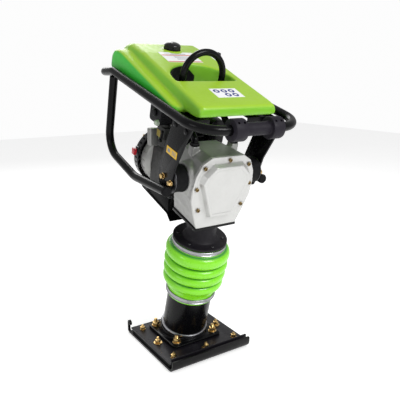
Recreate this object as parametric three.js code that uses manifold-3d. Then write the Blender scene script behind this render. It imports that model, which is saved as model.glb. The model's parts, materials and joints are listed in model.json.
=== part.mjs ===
// Upright petrol rammer (jumping jack) for tamping soil, in millimetres, +Z up.
// The origin is the middle of the shoe's flat sole, on the ground. The machine's front faces -Y.
// The leg leans forward, so most parts are placed in the leg's own frame: its Z runs up the leg,
// its Y to the rear, square to the leg, and its X across the machine.
import * as THREE from "three";
import { mergeVertices } from "three/addons/utils/BufferGeometryUtils.js";
import Module from "manifold-3d";

const wasm = await Module();
wasm.setup();

// ---------------------------------------------------------------- driving dimensions
const LEAN = THREE.MathUtils.degToRad(16.5); // forward lean of the leg
const LEG_FOOT_Y = 36; // where the leg's axis meets the ground
const GAP = 0.3; // clearance between parts that touch

const SHOE_WIDTH = 285;
const SHOE_FRONT = -148; // middle of the toe lip's thickness
const SHOE_REAR = 148; // rear edge of the sole
const SOLE_THICK = 7;
const CORE_THICK = 11;
const TOP_PLATE_THICK = 5;
const SHOE_TOP = SOLE_THICK + GAP + CORE_THICK + GAP + TOP_PLATE_THICK;
const STUDS = { front: { x: 68, y: -46 }, rear: { x: 70, y: 90 } };

const LEG_RADIUS = 71;
const LEG_BORE = 64;
const LEG_BOTTOM = 58;
const LEG_TOP = 290;
const GUIDE_RADIUS = 62.5;
const GUIDE_BORE = 57;
const GUIDE_BOTTOM = 250;
const FLANGE_RADIUS = 83;
const FLANGE_BOTTOM = 396;
const NECK_RADIUS = 45;
const NECK_BORE = 38;
const CASE_BOTTOM = 476;
const CASE_FRONT = -57;
const CASE_REAR = 66;

const CRANK_Z = 608; // height of the crank gear's axis up the leg
const CRANK_THROW = 25;
const GEAR_MODULE = 2.1;
const GEAR_TEETH = 50;
const PINION_TEETH = 10;
const ENGINE_Z = CRANK_Z - (GEAR_MODULE * (GEAR_TEETH + PINION_TEETH)) / 2;
const GEAR_FRONT = 14;
const GEAR_REAR = 28;
const WRIST_PIN_Z = 440;
const CRANK_PIN_Z = CRANK_Z - CRANK_THROW;

const BLOCK_FRONT = 112; // engine block, along the crankshaft
const BLOCK_REAR = 232;
const CYLINDER_Y = 172; // engine cylinder's axis
const SWAY = { y: -8, z: 614 }; // axis of the two rubber mounts that carry the handle

const TUBE_RADIUS = 12.5; // handle and guard tubes
const HANDLE_HALF = 163;
const HANDLE_FRONT = -141;
const HANDLE_Z = 801;
const HANDLE_REAR = 472;
const CAP_Y = 305; // filler cap's axis on the tank

// ---------------------------------------------------------------- materials
const paint = (color, roughness, metalness) =>
  new THREE.MeshStandardMaterial({ color, roughness, metalness, flatShading: true });

const BLACK_PAINT = paint("#16161a", 0.45, 0.0);
const BLACK_STEEL = paint("#1d1c20", 0.5, 0.3);
const GREY_BLACK = paint("#3a3840", 0.6, 0.2);
const CAST_ALUMINIUM = paint("#a9a9a8", 0.45, 0.8);
const STEEL = paint("#9a9b9d", 0.35, 1.0);
const ZINC_GOLD = paint("#c2a24a", 0.35, 1.0);
const LIME_RUBBER = paint("#7bd321", 0.5, 0.0);
const LIME_PLASTIC = paint("#96d01e", 0.35, 0.0);
const BLACK_RUBBER = paint("#18171a", 0.8, 0.0);
const BLACK_PLASTIC = paint("#222026", 0.6, 0.0);
const RED_PLASTIC = paint("#c01f2c", 0.4, 0.0);
const CERAMIC = paint("#e8e6df", 0.3, 0.0);

// ---------------------------------------------------------------- closed shapes
function volumeOf(geometry) {
  const place = geometry.attributes.position;
  const corner = [0, 1, 2].map(() => new THREE.Vector3());
  let total = 0;
  for (let i = 0; i < geometry.index.count; i += 3) {
    corner.forEach((c, k) => c.fromBufferAttribute(place, geometry.index.getX(i + k)));
    total += corner[0].dot(corner[1].clone().cross(corner[2])) / 6;
  }
  return total;
}

// Merges the corners of a closed geometry, drops flat triangles and turns its faces outwards.
function closed(geometry) {
  geometry.deleteAttribute("normal");
  geometry.deleteAttribute("uv");
  const merged = mergeVertices(geometry, 1e-3);
  const faces = [];
  for (let i = 0; i < merged.index.count; i += 3) {
    const [a, b, c] = [0, 1, 2].map((k) => merged.index.getX(i + k));
    if (a !== b && b !== c && c !== a) faces.push([a, b, c]);
  }
  merged.setIndex(faces.flat());
  if (volumeOf(merged) < 0) merged.setIndex(faces.flatMap(([a, b, c]) => [a, c, b]));
  return merged;
}

function solidOf(geometry) {
  const isMerged = geometry.index && !geometry.attributes.normal;
  const shape = isMerged ? geometry : closed(geometry.clone());
  return new wasm.Manifold(
    new wasm.Mesh({
      numProp: 3,
      vertProperties: new Float32Array(shape.attributes.position.array),
      triVerts: new Uint32Array(shape.index.array),
    }),
  );
}

function geometryOf(solid) {
  const mesh = solid.getMesh();
  return new THREE.BufferGeometry()
    .setAttribute("position", new THREE.BufferAttribute(new Float32Array(mesh.vertProperties), 3))
    .setIndex(new THREE.BufferAttribute(new Uint32Array(mesh.triVerts), 1));
}

const join = (first, ...rest) =>
  geometryOf(rest.reduce((sum, next) => sum.add(solidOf(next)), solidOf(first)));
const cut = (body, ...tools) =>
  geometryOf(tools.reduce((left, tool) => left.subtract(solidOf(tool)), solidOf(body)));

// ---------------------------------------------------------------- outlines and routes
const vector = (p) => new THREE.Vector3(p[0], p[1], p[2] ?? 0);

// Rounds the corners of a polyline; radius is one number, or one for each corner.
function rounded(points, radius, isClosed = true, steps = 4) {
  const list = points.map(vector);
  const count = list.length;
  const out = [];
  list.forEach((corner, i) => {
    const r = Array.isArray(radius) ? radius[i] : radius;
    const atEnd = !isClosed && (i === 0 || i === count - 1);
    if (atEnd || !r) {
      out.push(corner);
      return;
    }
    const before = list[(i + count - 1) % count].clone().sub(corner).normalize();
    const after = list[(i + 1) % count].clone().sub(corner).normalize();
    const half = before.angleTo(after) / 2;
    const reach = r / Math.tan(half);
    const middle = before.clone().add(after).normalize().multiplyScalar(r / Math.sin(half)).add(corner);
    const start = corner.clone().addScaledVector(before, reach).sub(middle);
    const end = corner.clone().addScaledVector(after, reach).sub(middle);
    const sweep = start.angleTo(end);
    for (let k = 0; k <= steps; k++) {
      const a = Math.sin(((steps - k) * sweep) / steps) / Math.sin(sweep);
      const b = Math.sin((k * sweep) / steps) / Math.sin(sweep);
      out.push(middle.clone().addScaledVector(start, a).addScaledVector(end, b));
    }
  });
  return out.map((p) => p.toArray());
}

function circle(radius, sides, u = 0, v = 0, turn = 0) {
  return Array.from({ length: sides }, (_, i) => {
    const angle = (2 * Math.PI * i) / sides + turn;
    return [u + radius * Math.cos(angle), v + radius * Math.sin(angle)];
  });
}

const box2 = (u0, v0, u1, v1) => [[u0, v0], [u1, v0], [u1, v1], [u0, v1]];

// Closed outline of a bent plate from the middle line of its thickness.
function plateOutline(middle, thickness) {
  const side = (offset) =>
    middle.map((p, i) => {
      const a = middle[Math.max(i - 1, 0)];
      const b = middle[Math.min(i + 1, middle.length - 1)];
      const length = Math.hypot(b[0] - a[0], b[1] - a[1]);
      return [p[0] - ((b[1] - a[1]) / length) * offset, p[1] + ((b[0] - a[0]) / length) * offset];
    });
  return [...side(thickness / 2), ...side(-thickness / 2).reverse()];
}

function extruded(outline, depth, holes) {
  const shape = new THREE.Shape(outline.map(([u, v]) => new THREE.Vector2(u, v)));
  holes.forEach((hole) => {
    shape.holes.push(new THREE.Path(hole.map(([u, v]) => new THREE.Vector2(u, v))));
  });
  return new THREE.ExtrudeGeometry(shape, { depth, bevelEnabled: false });
}

const AXIS = { x: new THREE.Vector3(1, 0, 0), y: new THREE.Vector3(0, 1, 0), z: new THREE.Vector3(0, 0, 1) };

// An outline in Y and Z, from x0 to x1.
function alongX(outline, x0, x1, holes = []) {
  const turn = new THREE.Matrix4().makeBasis(AXIS.y, AXIS.z, AXIS.x);
  return extruded(outline, x1 - x0, holes).applyMatrix4(turn).translate(x0, 0, 0);
}
// An outline in X and Z, from y0 to y1.
function alongY(outline, y0, y1, holes = []) {
  const turn = new THREE.Matrix4().makeBasis(AXIS.x, AXIS.z, AXIS.y.clone().negate());
  return extruded(outline, y1 - y0, holes).applyMatrix4(turn).translate(0, y1, 0);
}
// An outline in X and Y, from z0 to z1.
function alongZ(outline, z0, z1, holes = []) {
  return extruded(outline, z1 - z0, holes).translate(0, 0, z0);
}

function block(x0, x1, y0, y1, z0, z1) {
  const middle = [(x0 + x1) / 2, (y0 + y1) / 2, (z0 + z1) / 2];
  return new THREE.BoxGeometry(x1 - x0, y1 - y0, z1 - z0).translate(...middle);
}

// A turned part about Z: pairs of radius and height, closed on the axis or on itself.
function turned(profile, sides = 32) {
  const points = profile.map(([r, z]) => new THREE.Vector2(r, z));
  const onAxis = profile[0][0] === 0 && profile.at(-1)[0] === 0;
  if (!onAxis) points.push(points[0].clone());
  return closed(new THREE.LatheGeometry(points, sides).rotateX(Math.PI / 2));
}
const turnedY = (profile, sides, x = 0, z = ENGINE_Z) =>
  turned(profile, sides).rotateX(-Math.PI / 2).translate(x, 0, z);
const turnedX = (profile, sides, y = 0, z = 0) =>
  turned(profile, sides).rotateY(Math.PI / 2).translate(0, y, z);
const rod = (radius, z0, z1) => [[0, z0], [radius, z0], [radius, z1], [0, z1]];
const ring = (inner, outer, z0, z1) => [[inner, z0], [outer, z0], [outer, z1], [inner, z1]];

// A curve through given points, in straight steps.
class Route extends THREE.Curve {
  constructor(points) {
    super();
    this.points = points.map(vector);
  }
  getPoint(t, target = new THREE.Vector3()) {
    const place = THREE.MathUtils.clamp(t, 0, 1) * (this.points.length - 1);
    const i = Math.min(Math.floor(place), this.points.length - 2);
    return target.lerpVectors(this.points[i], this.points[i + 1], place - i);
  }
  getUtoTmapping(u) {
    return u;
  }
}

function pipe(points, radius, sides = 12) {
  const section = new THREE.Shape(circle(radius, sides).map(([u, v]) => new THREE.Vector2(u, v)));
  const extrudePath = new Route(points);
  return closed(
    new THREE.ExtrudeGeometry(section, { steps: points.length - 1, extrudePath, bevelEnabled: false }),
  );
}

// A closed body through sections with the same number of points.
function loft(sections) {
  const size = sections[0].length;
  const positions = sections.flat(2);
  const faces = [];
  for (let s = 0; s + 1 < sections.length; s++) {
    for (let i = 0; i < size; i++) {
      const [a, b] = [s * size + i, s * size + ((i + 1) % size)];
      faces.push([a, b, b + size], [a, b + size, a + size]);
    }
  }
  const cap = (section, first, flip) => {
    const flat = section.map(([x, , z]) => new THREE.Vector2(x, z));
    THREE.ShapeUtils.triangulateShape(flat, []).forEach(([a, b, c]) => {
      faces.push((flip ? [a, c, b] : [a, b, c]).map((i) => i + first));
    });
  };
  const isLeftTurn = THREE.ShapeUtils.area(sections[0].map(([x, , z]) => new THREE.Vector2(x, z))) > 0;
  cap(sections[0], 0, isLeftTurn);
  cap(sections.at(-1), (sections.length - 1) * size, !isLeftTurn);
  const geometry = new THREE.BufferGeometry().setAttribute(
    "position",
    new THREE.Float32BufferAttribute(positions, 3),
  );
  return closed(geometry.setIndex(faces.flat()));
}

const mirrored = (half) => [...half, ...half.map(([x, z]) => [-x, z]).reverse()];
const section = (outline, y) => outline.map(([x, z]) => [x, y, z]);

// ---------------------------------------------------------------- the scene's groups
const rammer = new THREE.Group();
const leg = new THREE.Group();
leg.position.set(0, LEG_FOOT_Y, 0);
leg.rotation.x = LEAN;
rammer.add(leg);
rammer.updateMatrixWorld(true);

function add(group, name, geometry, material) {
  const mesh = new THREE.Mesh(geometry, material);
  mesh.name = name;
  group.add(mesh);
}
const legToGround = (geometry) => geometry.clone().applyMatrix4(leg.matrixWorld);

// ---------------------------------------------------------------- shoe
const shoeHalf = SHOE_WIDTH / 2;
const solePlate = plateOutline(
  rounded([[SHOE_FRONT, 37], [SHOE_FRONT, SOLE_THICK / 2], [SHOE_REAR, SOLE_THICK / 2]], [0, 20, 0], false),
  SOLE_THICK,
);
// A bent strap stands at each rear corner of the sole.
const HOOK = { thick: 5, width: 8, rise: 42, reach: 13 };
const hookOutline = plateOutline(
  rounded(
    [[SHOE_REAR - 4, 4], [SHOE_REAR + 9, 4], [SHOE_REAR + 9, HOOK.rise],
      [SHOE_REAR + 9 - HOOK.reach, HOOK.rise], [SHOE_REAR + 9 - HOOK.reach, HOOK.rise - 12]],
    [0, 6, 6, 6, 0],
    false,
    3,
  ),
  HOOK.thick,
);
const hooks = [-shoeHalf, shoeHalf - HOOK.width].map((x) => alongX(hookOutline, x, x + HOOK.width));
add(rammer, "shoe_sole", join(alongX(solePlate, -shoeHalf, shoeHalf), ...hooks), BLACK_STEEL);

const studPlaces = [
  ["foot_stud_front_left", -STUDS.front.x, STUDS.front.y],
  ["foot_stud_front_right", STUDS.front.x, STUDS.front.y],
  ["foot_stud_rear_left", -STUDS.rear.x, STUDS.rear.y],
  ["foot_stud_rear_right", STUDS.rear.x, STUDS.rear.y],
];
const STUD_RADIUS = 6;
const studHoles = studPlaces.map(([, x, y]) => circle(STUD_RADIUS + 0.6, 12, x, y));
const CORE_BOTTOM = SOLE_THICK + GAP;
const coreOutline = rounded(box2(-138, -126, 138, 134), 6);
add(
  rammer,
  "shoe_core",
  alongZ(coreOutline, CORE_BOTTOM, CORE_BOTTOM + CORE_THICK, studHoles),
  BLACK_RUBBER,
);

// Top plate: its front edge is turned up behind the toe lip.
const topPlateMiddle = SHOE_TOP - TOP_PLATE_THICK / 2;
const topPlateOutline = plateOutline(
  rounded([[-134, 41], [-134, topPlateMiddle], [138, topPlateMiddle]], 10, false),
  TOP_PLATE_THICK,
);
add(
  rammer,
  "shoe_top_plate",
  cut(alongX(topPlateOutline, -140, 140), ...studHoles.map((hole) => alongZ(hole, 0, 60))),
  GREY_BLACK,
);

// ---------------------------------------------------------------- foot casting, studs and leg
const CASTING_BASE_TOP = 33;
function footCasting() {
  const base = alongZ(rounded(box2(-90, -68, 90, 114), 16), SHOE_TOP + GAP, CASTING_BASE_TOP);
  const socket = legToGround(turned([[0, -40], [86, -40], [84, 20], [78, LEG_BOTTOM], [0, LEG_BOTTOM]], 28));
  const well = legToGround(turned(rod(LEG_BORE, 52, 90), 28));
  const ribs = [-40, 0, 40].map((x) =>
    alongX([[60, 30], [110, 30], [110, 36], [84, 66], [60, 66]], x - 5, x + 5),
  );
  const crown = legToGround(block(-200, 200, -200, 200, LEG_BOTTOM, 300));
  const under = block(-300, 300, -300, 300, -200, SHOE_TOP + GAP);
  const holes = studHoles.map((hole) => alongZ(hole, 0, 100));
  const spotFaces = studPlaces.map(([, x, y]) => alongZ(circle(16.5, 16, x, y), CASTING_BASE_TOP, 100));
  return cut(join(base, socket, ...ribs), well, crown, under, ...holes, ...spotFaces);
}
add(rammer, "foot_casting", footCasting(), BLACK_PAINT);

function stud(x, y) {
  const bolt = turned([[0, 7.8], [STUD_RADIUS, 7.8], [STUD_RADIUS, 56], [5, 58], [0, 58]], 12);
  const washer = turned(rod(14, CASTING_BASE_TOP + GAP, CASTING_BASE_TOP + 3), 16);
  const nut = alongZ(circle(11.5, 6), CASTING_BASE_TOP + 2.5, CASTING_BASE_TOP + 15);
  return join(bolt, washer, nut).translate(x, y, 0);
}
studPlaces.forEach(([name, x, y]) => add(rammer, name, stud(x, y), ZINC_GOLD));

const LEG_SEAT = LEG_BOTTOM + GAP;
add(leg, "foot_ring", turned(ring(LEG_RADIUS + GAP, 76, LEG_SEAT, 68), 28), STEEL);
add(leg, "leg_tube", turned(ring(LEG_BORE, LEG_RADIUS, LEG_SEAT, LEG_TOP), 28), BLACK_PAINT);
const SPRING_CAP = { bottom: 212, top: 220 };
add(
  leg,
  "spring_cap",
  turned(ring(12.5, LEG_BORE - 1, SPRING_CAP.bottom, SPRING_CAP.top), 24),
  STEEL,
);

// ---------------------------------------------------------------- springs inside the leg
function coilSpring(meanRadius, wireRadius, bottom, top, turns) {
  const stepsPerTurn = 10;
  const steps = turns * stepsPerTurn;
  const points = Array.from({ length: steps + 1 }, (_, i) => {
    const angle = (2 * Math.PI * i) / stepsPerTurn;
    const height = bottom + wireRadius + ((top - bottom - 2 * wireRadius) * i) / steps;
    return [meanRadius * Math.cos(angle), meanRadius * Math.sin(angle), height];
  });
  return pipe(points, wireRadius, 6);
}
const RAM_PLATE = { bottom: 120, top: 130 };
add(leg, "lower_spring", coilSpring(48, 6, 54, RAM_PLATE.bottom - 2, 3), STEEL);
add(leg, "upper_spring", coilSpring(48, 6, RAM_PLATE.top + 2, SPRING_CAP.bottom - 2, 4), STEEL);

// ---------------------------------------------------------------- bellows and its clamps
const CUFF_RADIUS = 76.5;
const ridges = [
  { z: 254, radius: 95 },
  { z: 287, radius: 97.5 },
  { z: 318, radius: 99 },
];
const RIDGE_REACH = 16; // from a ridge's middle to the groove above and below it
const GROOVE_RADIUS = 82;
function bellowsOutside() {
  const points = [[CUFF_RADIUS, 194], [CUFF_RADIUS, 220], [GROOVE_RADIUS + 2, 230]];
  ridges.forEach(({ z, radius }) => {
    points.push([radius - 4, z - 11], [radius, z - 3], [radius - 1, z + 5], [radius - 5, z + 11]);
    points.push([GROOVE_RADIUS, z + RIDGE_REACH]);
  });
  points.push([95, 340], [99, 350], [99, 362], [94, 371], [84, 377], [80, 379], [80, 393]);
  return points;
}
const bellowsInside = [
  [LEG_RADIUS + 0.5, 194],
  [LEG_RADIUS + 0.5, 222],
  [75.5, 232],
  [75.5, 370],
  [75, 376],
  [75, 393],
];
add(leg, "bellows", turned([...bellowsOutside(), ...bellowsInside.reverse()], 28), LIME_RUBBER);

function bandClamp(inner, bottom, top) {
  const band = turned(ring(inner, inner + 3, bottom, top), 28);
  const screwBlock = block(-9, 9, inner + 1, inner + 12, bottom + 2, top - 2);
  return join(band, screwBlock);
}
add(leg, "lower_clamp", bandClamp(CUFF_RADIUS + GAP, 199, 214), STEEL);
add(leg, "upper_clamp", bandClamp(80 + GAP, 380, 393), STEEL);

// ---------------------------------------------------------------- guide cylinder
const guideProfile = [
  [GUIDE_BORE, GUIDE_BOTTOM], [GUIDE_RADIUS, GUIDE_BOTTOM], [GUIDE_RADIUS, 374], [74, 378],
  [74, FLANGE_BOTTOM], [FLANGE_RADIUS, FLANGE_BOTTOM], [FLANGE_RADIUS, FLANGE_BOTTOM + 6],
  [NECK_RADIUS + 8, FLANGE_BOTTOM + 6], [NECK_RADIUS, FLANGE_BOTTOM + 16],
  [NECK_RADIUS, 462], [NECK_RADIUS + 8, 468], [NECK_RADIUS + 8, CASE_BOTTOM - GAP],
  [NECK_BORE, CASE_BOTTOM - GAP], [NECK_BORE, 386], [GUIDE_BORE, 366],
];
add(leg, "guide_cylinder", turned(guideProfile, 28), BLACK_PAINT);

// ---------------------------------------------------------------- crankcase and its cover
const caseFront = mirrored([[52, 692], [78, 675], [95, 640], [100, 606], [98, 566], [84, 520],
  [68, CASE_BOTTOM]]);
const caseRear = mirrored([[43, 684], [60, 672], [73, 640], [79, 606], [78, 566], [74, 520],
  [66, CASE_BOTTOM]]);
const CASE_WALL = 8;
const CASE_MIDDLE_Z = 590;
const shrunk = (outline, by) =>
  outline.map(([x, z]) => {
    const reach = Math.hypot(x, z - CASE_MIDDLE_Z);
    const scale = (reach - by) / reach;
    return [x * scale, CASE_MIDDLE_Z + (z - CASE_MIDDLE_Z) * scale];
  });
const BACK_WALL_FRONT = 49;

function crankcase() {
  const outside = loft([section(caseFront, CASE_FRONT), section(caseRear, CASE_REAR)]);
  const inside = loft([
    section(shrunk(caseFront, CASE_WALL + 1), CASE_FRONT - 1),
    section(shrunk(caseRear, CASE_WALL), BACK_WALL_FRONT),
  ]);
  const mountBoss = (side) =>
    turnedX(
      side > 0 ? [[0, 60], [46, 60], [46, 98], [41, 104], [0, 104]] : [[0, -104], [41, -104],
        [46, -98], [46, -60], [0, -60]],
      28,
      SWAY.y,
      SWAY.z,
    );
  const bailLug = (side) => block(65 * side - 11, 65 * side + 11, 0, 26, 668, 697);
  const ramHole = turned(rod(NECK_BORE + 2, CASE_BOTTOM - 10, CASE_BOTTOM + 40), 28);
  const crankPocket = turnedY(rod(26 + GAP, 40, 64.5), 28, 0, CRANK_Z);
  const drumPocket = turnedY(rod(19 + GAP, 40, 64.5), 24);
  const drumHole = turnedY(rod(9, 40, 80), 16);
  const shell = join(outside, mountBoss(1), mountBoss(-1), bailLug(1), bailLug(-1));
  return cut(shell, inside, ramHole, crankPocket, drumPocket, drumHole);
}
add(leg, "crankcase", crankcase(), CAST_ALUMINIUM);

const COVER_FLANGE = { rear: CASE_FRONT - GAP, front: CASE_FRONT - 7 };
const PANEL_FRONT = -80;
const panel = mirrored([[43, 667], [70, 640], [77, 622], [37, 517]]);
const panelFoot = shrunk(panel, -9);
function gearCover() {
  const flange = alongY(caseFront, COVER_FLANGE.front, COVER_FLANGE.rear);
  const raised = loft([section(panelFoot, COVER_FLANGE.front + 2), section(panel, PANEL_FRONT)]);
  const hollow = loft([
    section(shrunk(panelFoot, 8), COVER_FLANGE.rear + 2),
    section(shrunk(panel, 8), PANEL_FRONT + 6),
  ]);
  return cut(join(flange, raised), hollow);
}
add(leg, "gear_cover", gearCover(), CAST_ALUMINIUM);
const PLUG = { x: 54, y: -42 };
add(
  leg,
  "drain_plug",
  alongZ(circle(9, 6, PLUG.x, PLUG.y), CASE_BOTTOM - 12, CASE_BOTTOM - GAP),
  BLACK_STEEL,
);

// ---------------------------------------------------------------- rubber mounts and lifting bail
const ARM = { inner: 143, outer: 149 };
function shockMount(side) {
  const [near, far] = [104 + GAP, ARM.inner - GAP];
  const profile = [[0, near], [38, near], [39, near + 3], [37, (near + far) / 2], [39, far - 3],
    [38, far], [0, far]];
  const placed = turnedX(profile, 28, SWAY.y, SWAY.z);
  return side > 0 ? placed : placed.applyMatrix4(new THREE.Matrix4().makeScale(-1, 1, 1));
}
add(leg, "shock_mount_left", closed(shockMount(-1)), BLACK_RUBBER);
add(leg, "shock_mount_right", shockMount(1), BLACK_RUBBER);

const BAIL = { half: 65, y: 120, rise: 856, radius: 9.5, lugY: 13, lugZ: 697 };
function liftingBail() {
  const half = [
    [BAIL.half, BAIL.lugY, BAIL.lugZ + GAP],
    [BAIL.half, BAIL.lugY, BAIL.lugZ + 15],
    [BAIL.half, BAIL.y, 776],
    [BAIL.half, BAIL.y, BAIL.rise],
  ];
  const lower = rounded(half, [0, 20, 36, 0], false, 3);
  const archSteps = 12;
  const arch = Array.from({ length: archSteps - 1 }, (_, i) => {
    const angle = (Math.PI * (i + 1)) / archSteps;
    return [BAIL.half * Math.cos(angle), BAIL.y, BAIL.rise + BAIL.half * Math.sin(angle)];
  });
  const otherSide = lower.map(([x, y, z]) => [-x, y, z]).reverse();
  return pipe([...lower, ...arch, ...otherSide], BAIL.radius, 8);
}
add(leg, "lifting_bail", liftingBail(), BLACK_PAINT);

// ---------------------------------------------------------------- ram rod, piston, wrist pin, rod
const RAM_TOP = 398;
add(
  leg,
  "ram_rod",
  turned(
    [[0, RAM_PLATE.bottom], [58, RAM_PLATE.bottom], [58, RAM_PLATE.top], [11, RAM_PLATE.top],
      [11, RAM_TOP], [0, RAM_TOP]],
    24,
  ),
  STEEL,
);
const PISTON = { radius: 36.5, top: 456, slotBottom: 420, slotHalf: 10 };
function ramPiston() {
  const body = turned(rod(PISTON.radius, RAM_TOP + GAP, PISTON.top), 28);
  const slot = block(-40, 40, -PISTON.slotHalf, PISTON.slotHalf, PISTON.slotBottom, 500);
  const pinHole = turnedY(rod(8.4, -60, 60), 16, 0, WRIST_PIN_Z);
  return cut(body, slot, pinHole);
}
add(leg, "ram_piston", ramPiston(), STEEL);
add(leg, "wrist_pin", turnedY(rod(8, -30, 30), 16, 0, WRIST_PIN_Z), STEEL);
const ROD_HALF = 9;
function connectingRod() {
  const smallEnd = turnedY(rod(17, -ROD_HALF, ROD_HALF), 20, 0, WRIST_PIN_Z);
  const bigEnd = turnedY(rod(19, -ROD_HALF, ROD_HALF), 24, 0, CRANK_PIN_Z);
  const web = block(-9, 9, -6, 6, WRIST_PIN_Z, CRANK_PIN_Z);
  const smallBore = turnedY(rod(8.4, -20, 20), 16, 0, WRIST_PIN_Z);
  const bigBore = turnedY(rod(10, -20, 20), 16, 0, CRANK_PIN_Z);
  return cut(join(smallEnd, bigEnd, web), smallBore, bigBore);
}
add(leg, "connecting_rod", connectingRod(), STEEL);

// ---------------------------------------------------------------- gears and clutch
// Teeth with straight flanks, cut thin enough to run with backlash.
function gearOutline(teeth, turn) {
  const pitch = (GEAR_MODULE * teeth) / 2;
  const [tip, root] = [pitch + 0.8 * GEAR_MODULE, pitch - 1.25 * GEAR_MODULE];
  const step = (2 * Math.PI) / teeth;
  const corners = [[root, -0.3], [tip, -0.11], [tip, 0.11], [root, 0.3]];
  return Array.from({ length: teeth }, (_, i) =>
    corners.map(([radius, share]) => {
      const angle = turn + (i + share) * step;
      return [radius * Math.cos(angle), radius * Math.sin(angle)];
    }),
  ).flat();
}
const shifted = (outline, z) => outline.map(([x, y]) => [x, y + z]);
function crankGear() {
  const toothAtBottom = -Math.PI / 2;
  const gear = alongY(shifted(gearOutline(GEAR_TEETH, toothAtBottom), CRANK_Z), GEAR_FRONT, GEAR_REAR);
  const shaft = turnedY(rod(14, GEAR_REAR - 1, 63.5), 20, 0, CRANK_Z);
  const pin = turnedY(rod(9, ROD_HALF + 0.6, GEAR_FRONT + 1), 20, 0, CRANK_PIN_Z);
  return join(gear, shaft, pin);
}
add(leg, "crank_gear", crankGear(), STEEL);
add(leg, "crank_bearing", turnedY(ring(14 + GAP, 26, 50, 63.5), 24, 0, CRANK_Z), STEEL);

const DRUM = { outer: 42, inner: 38, front: 70, rear: 104 };
function clutchDrum() {
  const gapAtTop = Math.PI / 2 + Math.PI / PINION_TEETH;
  const pinion = alongY(shifted(gearOutline(PINION_TEETH, gapAtTop), ENGINE_Z), GEAR_FRONT, GEAR_REAR);
  const shaft = turnedY(rod(7.5, GEAR_REAR - 1, DRUM.front + 1), 16);
  const drum = turnedY(
    [[0, DRUM.front], [DRUM.outer, DRUM.front], [DRUM.outer, DRUM.rear], [DRUM.inner, DRUM.rear],
      [DRUM.inner, DRUM.front + 4], [0, DRUM.front + 4]],
    32,
  );
  return join(pinion, shaft, drum);
}
add(leg, "clutch_drum", clutchDrum(), STEEL);
add(leg, "drum_bearing", turnedY(ring(7.5 + GAP, 19, 50, 63.5), 24), STEEL);
add(
  leg,
  "clutch_housing",
  turnedY(
    [[48, CASE_REAR + GAP], [62, CASE_REAR + GAP], [62, 72], [54, 74], [54, 104], [62, 106],
      [62, BLOCK_FRONT], [48, BLOCK_FRONT]],
    32,
  ),
  CAST_ALUMINIUM,
);

function crankshaft() {
  const shaft = turnedY(rod(11, 84, 264), 20);
  const shoe = (turn) => {
    const arc = Array.from({ length: 7 }, (_, i) => turn - 0.95 + (1.9 * i) / 6);
    const outline = [
      ...arc.map((a) => [35 * Math.cos(a), ENGINE_Z + 35 * Math.sin(a)]),
      ...arc.reverse().map((a) => [20 * Math.cos(a), ENGINE_Z + 20 * Math.sin(a)]),
    ];
    return alongY(outline, 82, 98);
  };
  const hub = turnedY(rod(22, 82, 98), 20);
  return join(shaft, hub, shoe(0), shoe(Math.PI));
}
add(leg, "crankshaft", crankshaft(), STEEL);

// ---------------------------------------------------------------- engine
const blockOutline = rounded(box2(-66, 472, 66, 622), 20);
function engineBlock() {
  const body = alongY(blockOutline, BLOCK_FRONT + GAP, BLOCK_REAR);
  const clutchRoom = turnedY(rod(46, 100, 124), 28);
  const shaftHole = turnedY(rod(12.5, 100, 300), 20);
  return cut(body, clutchRoom, shaftHole);
}
add(leg, "engine_block", engineBlock(), CAST_ALUMINIUM);

function engineCylinder() {
  const barrel = turned(rod(36, 622 + GAP, 706), 24).translate(0, CYLINDER_Y, 0);
  const fins = [636, 653, 670, 687].map((z) =>
    alongZ(rounded(box2(-50, CYLINDER_Y - 48, 50, CYLINDER_Y + 48), 12, true, 1), z, z + 4),
  );
  return join(barrel, ...fins);
}
add(leg, "engine_cylinder", engineCylinder(), CAST_ALUMINIUM);

function cylinderHead() {
  const body = block(-40, 40, CYLINDER_Y - 40, CYLINDER_Y + 40, 706 + GAP, 738);
  const fins = [710, 720, 730].map((z) =>
    alongZ(rounded(box2(-48, CYLINDER_Y - 46, 48, CYLINDER_Y + 46), 10, true, 1), z, z + 4),
  );
  return join(body, ...fins);
}
add(leg, "cylinder_head", cylinderHead(), CAST_ALUMINIUM);
const PLUG_SEAT = CYLINDER_Y - 46 - GAP;
add(
  leg,
  "spark_plug",
  turnedY(
    [[0, PLUG_SEAT - 44], [5, PLUG_SEAT - 44], [6, PLUG_SEAT - 14], [10, PLUG_SEAT - 14],
      [10, PLUG_SEAT], [0, PLUG_SEAT]],
    12,
    0,
    722,
  ),
  CERAMIC,
);

const FAN = { radius: 83, front: BLOCK_REAR + GAP, rear: 272 };
add(
  leg,
  "fan_housing",
  turnedY(
    [[40, FAN.front], [70, FAN.front], [FAN.radius, FAN.front + 12], [FAN.radius, FAN.rear],
      [FAN.radius - 5, FAN.rear],
      [FAN.radius - 5, FAN.front + 14], [68, FAN.front + 5], [40, FAN.front + 5]],
    28,
  ),
  CAST_ALUMINIUM,
);
add(
  leg,
  "flywheel",
  turnedY([[11 + GAP, 247], [74, 247], [74, 264], [60, 264], [58, 254], [28, 254], [26, 264],
    [11 + GAP, 264]], 28),
  STEEL,
);

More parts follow.
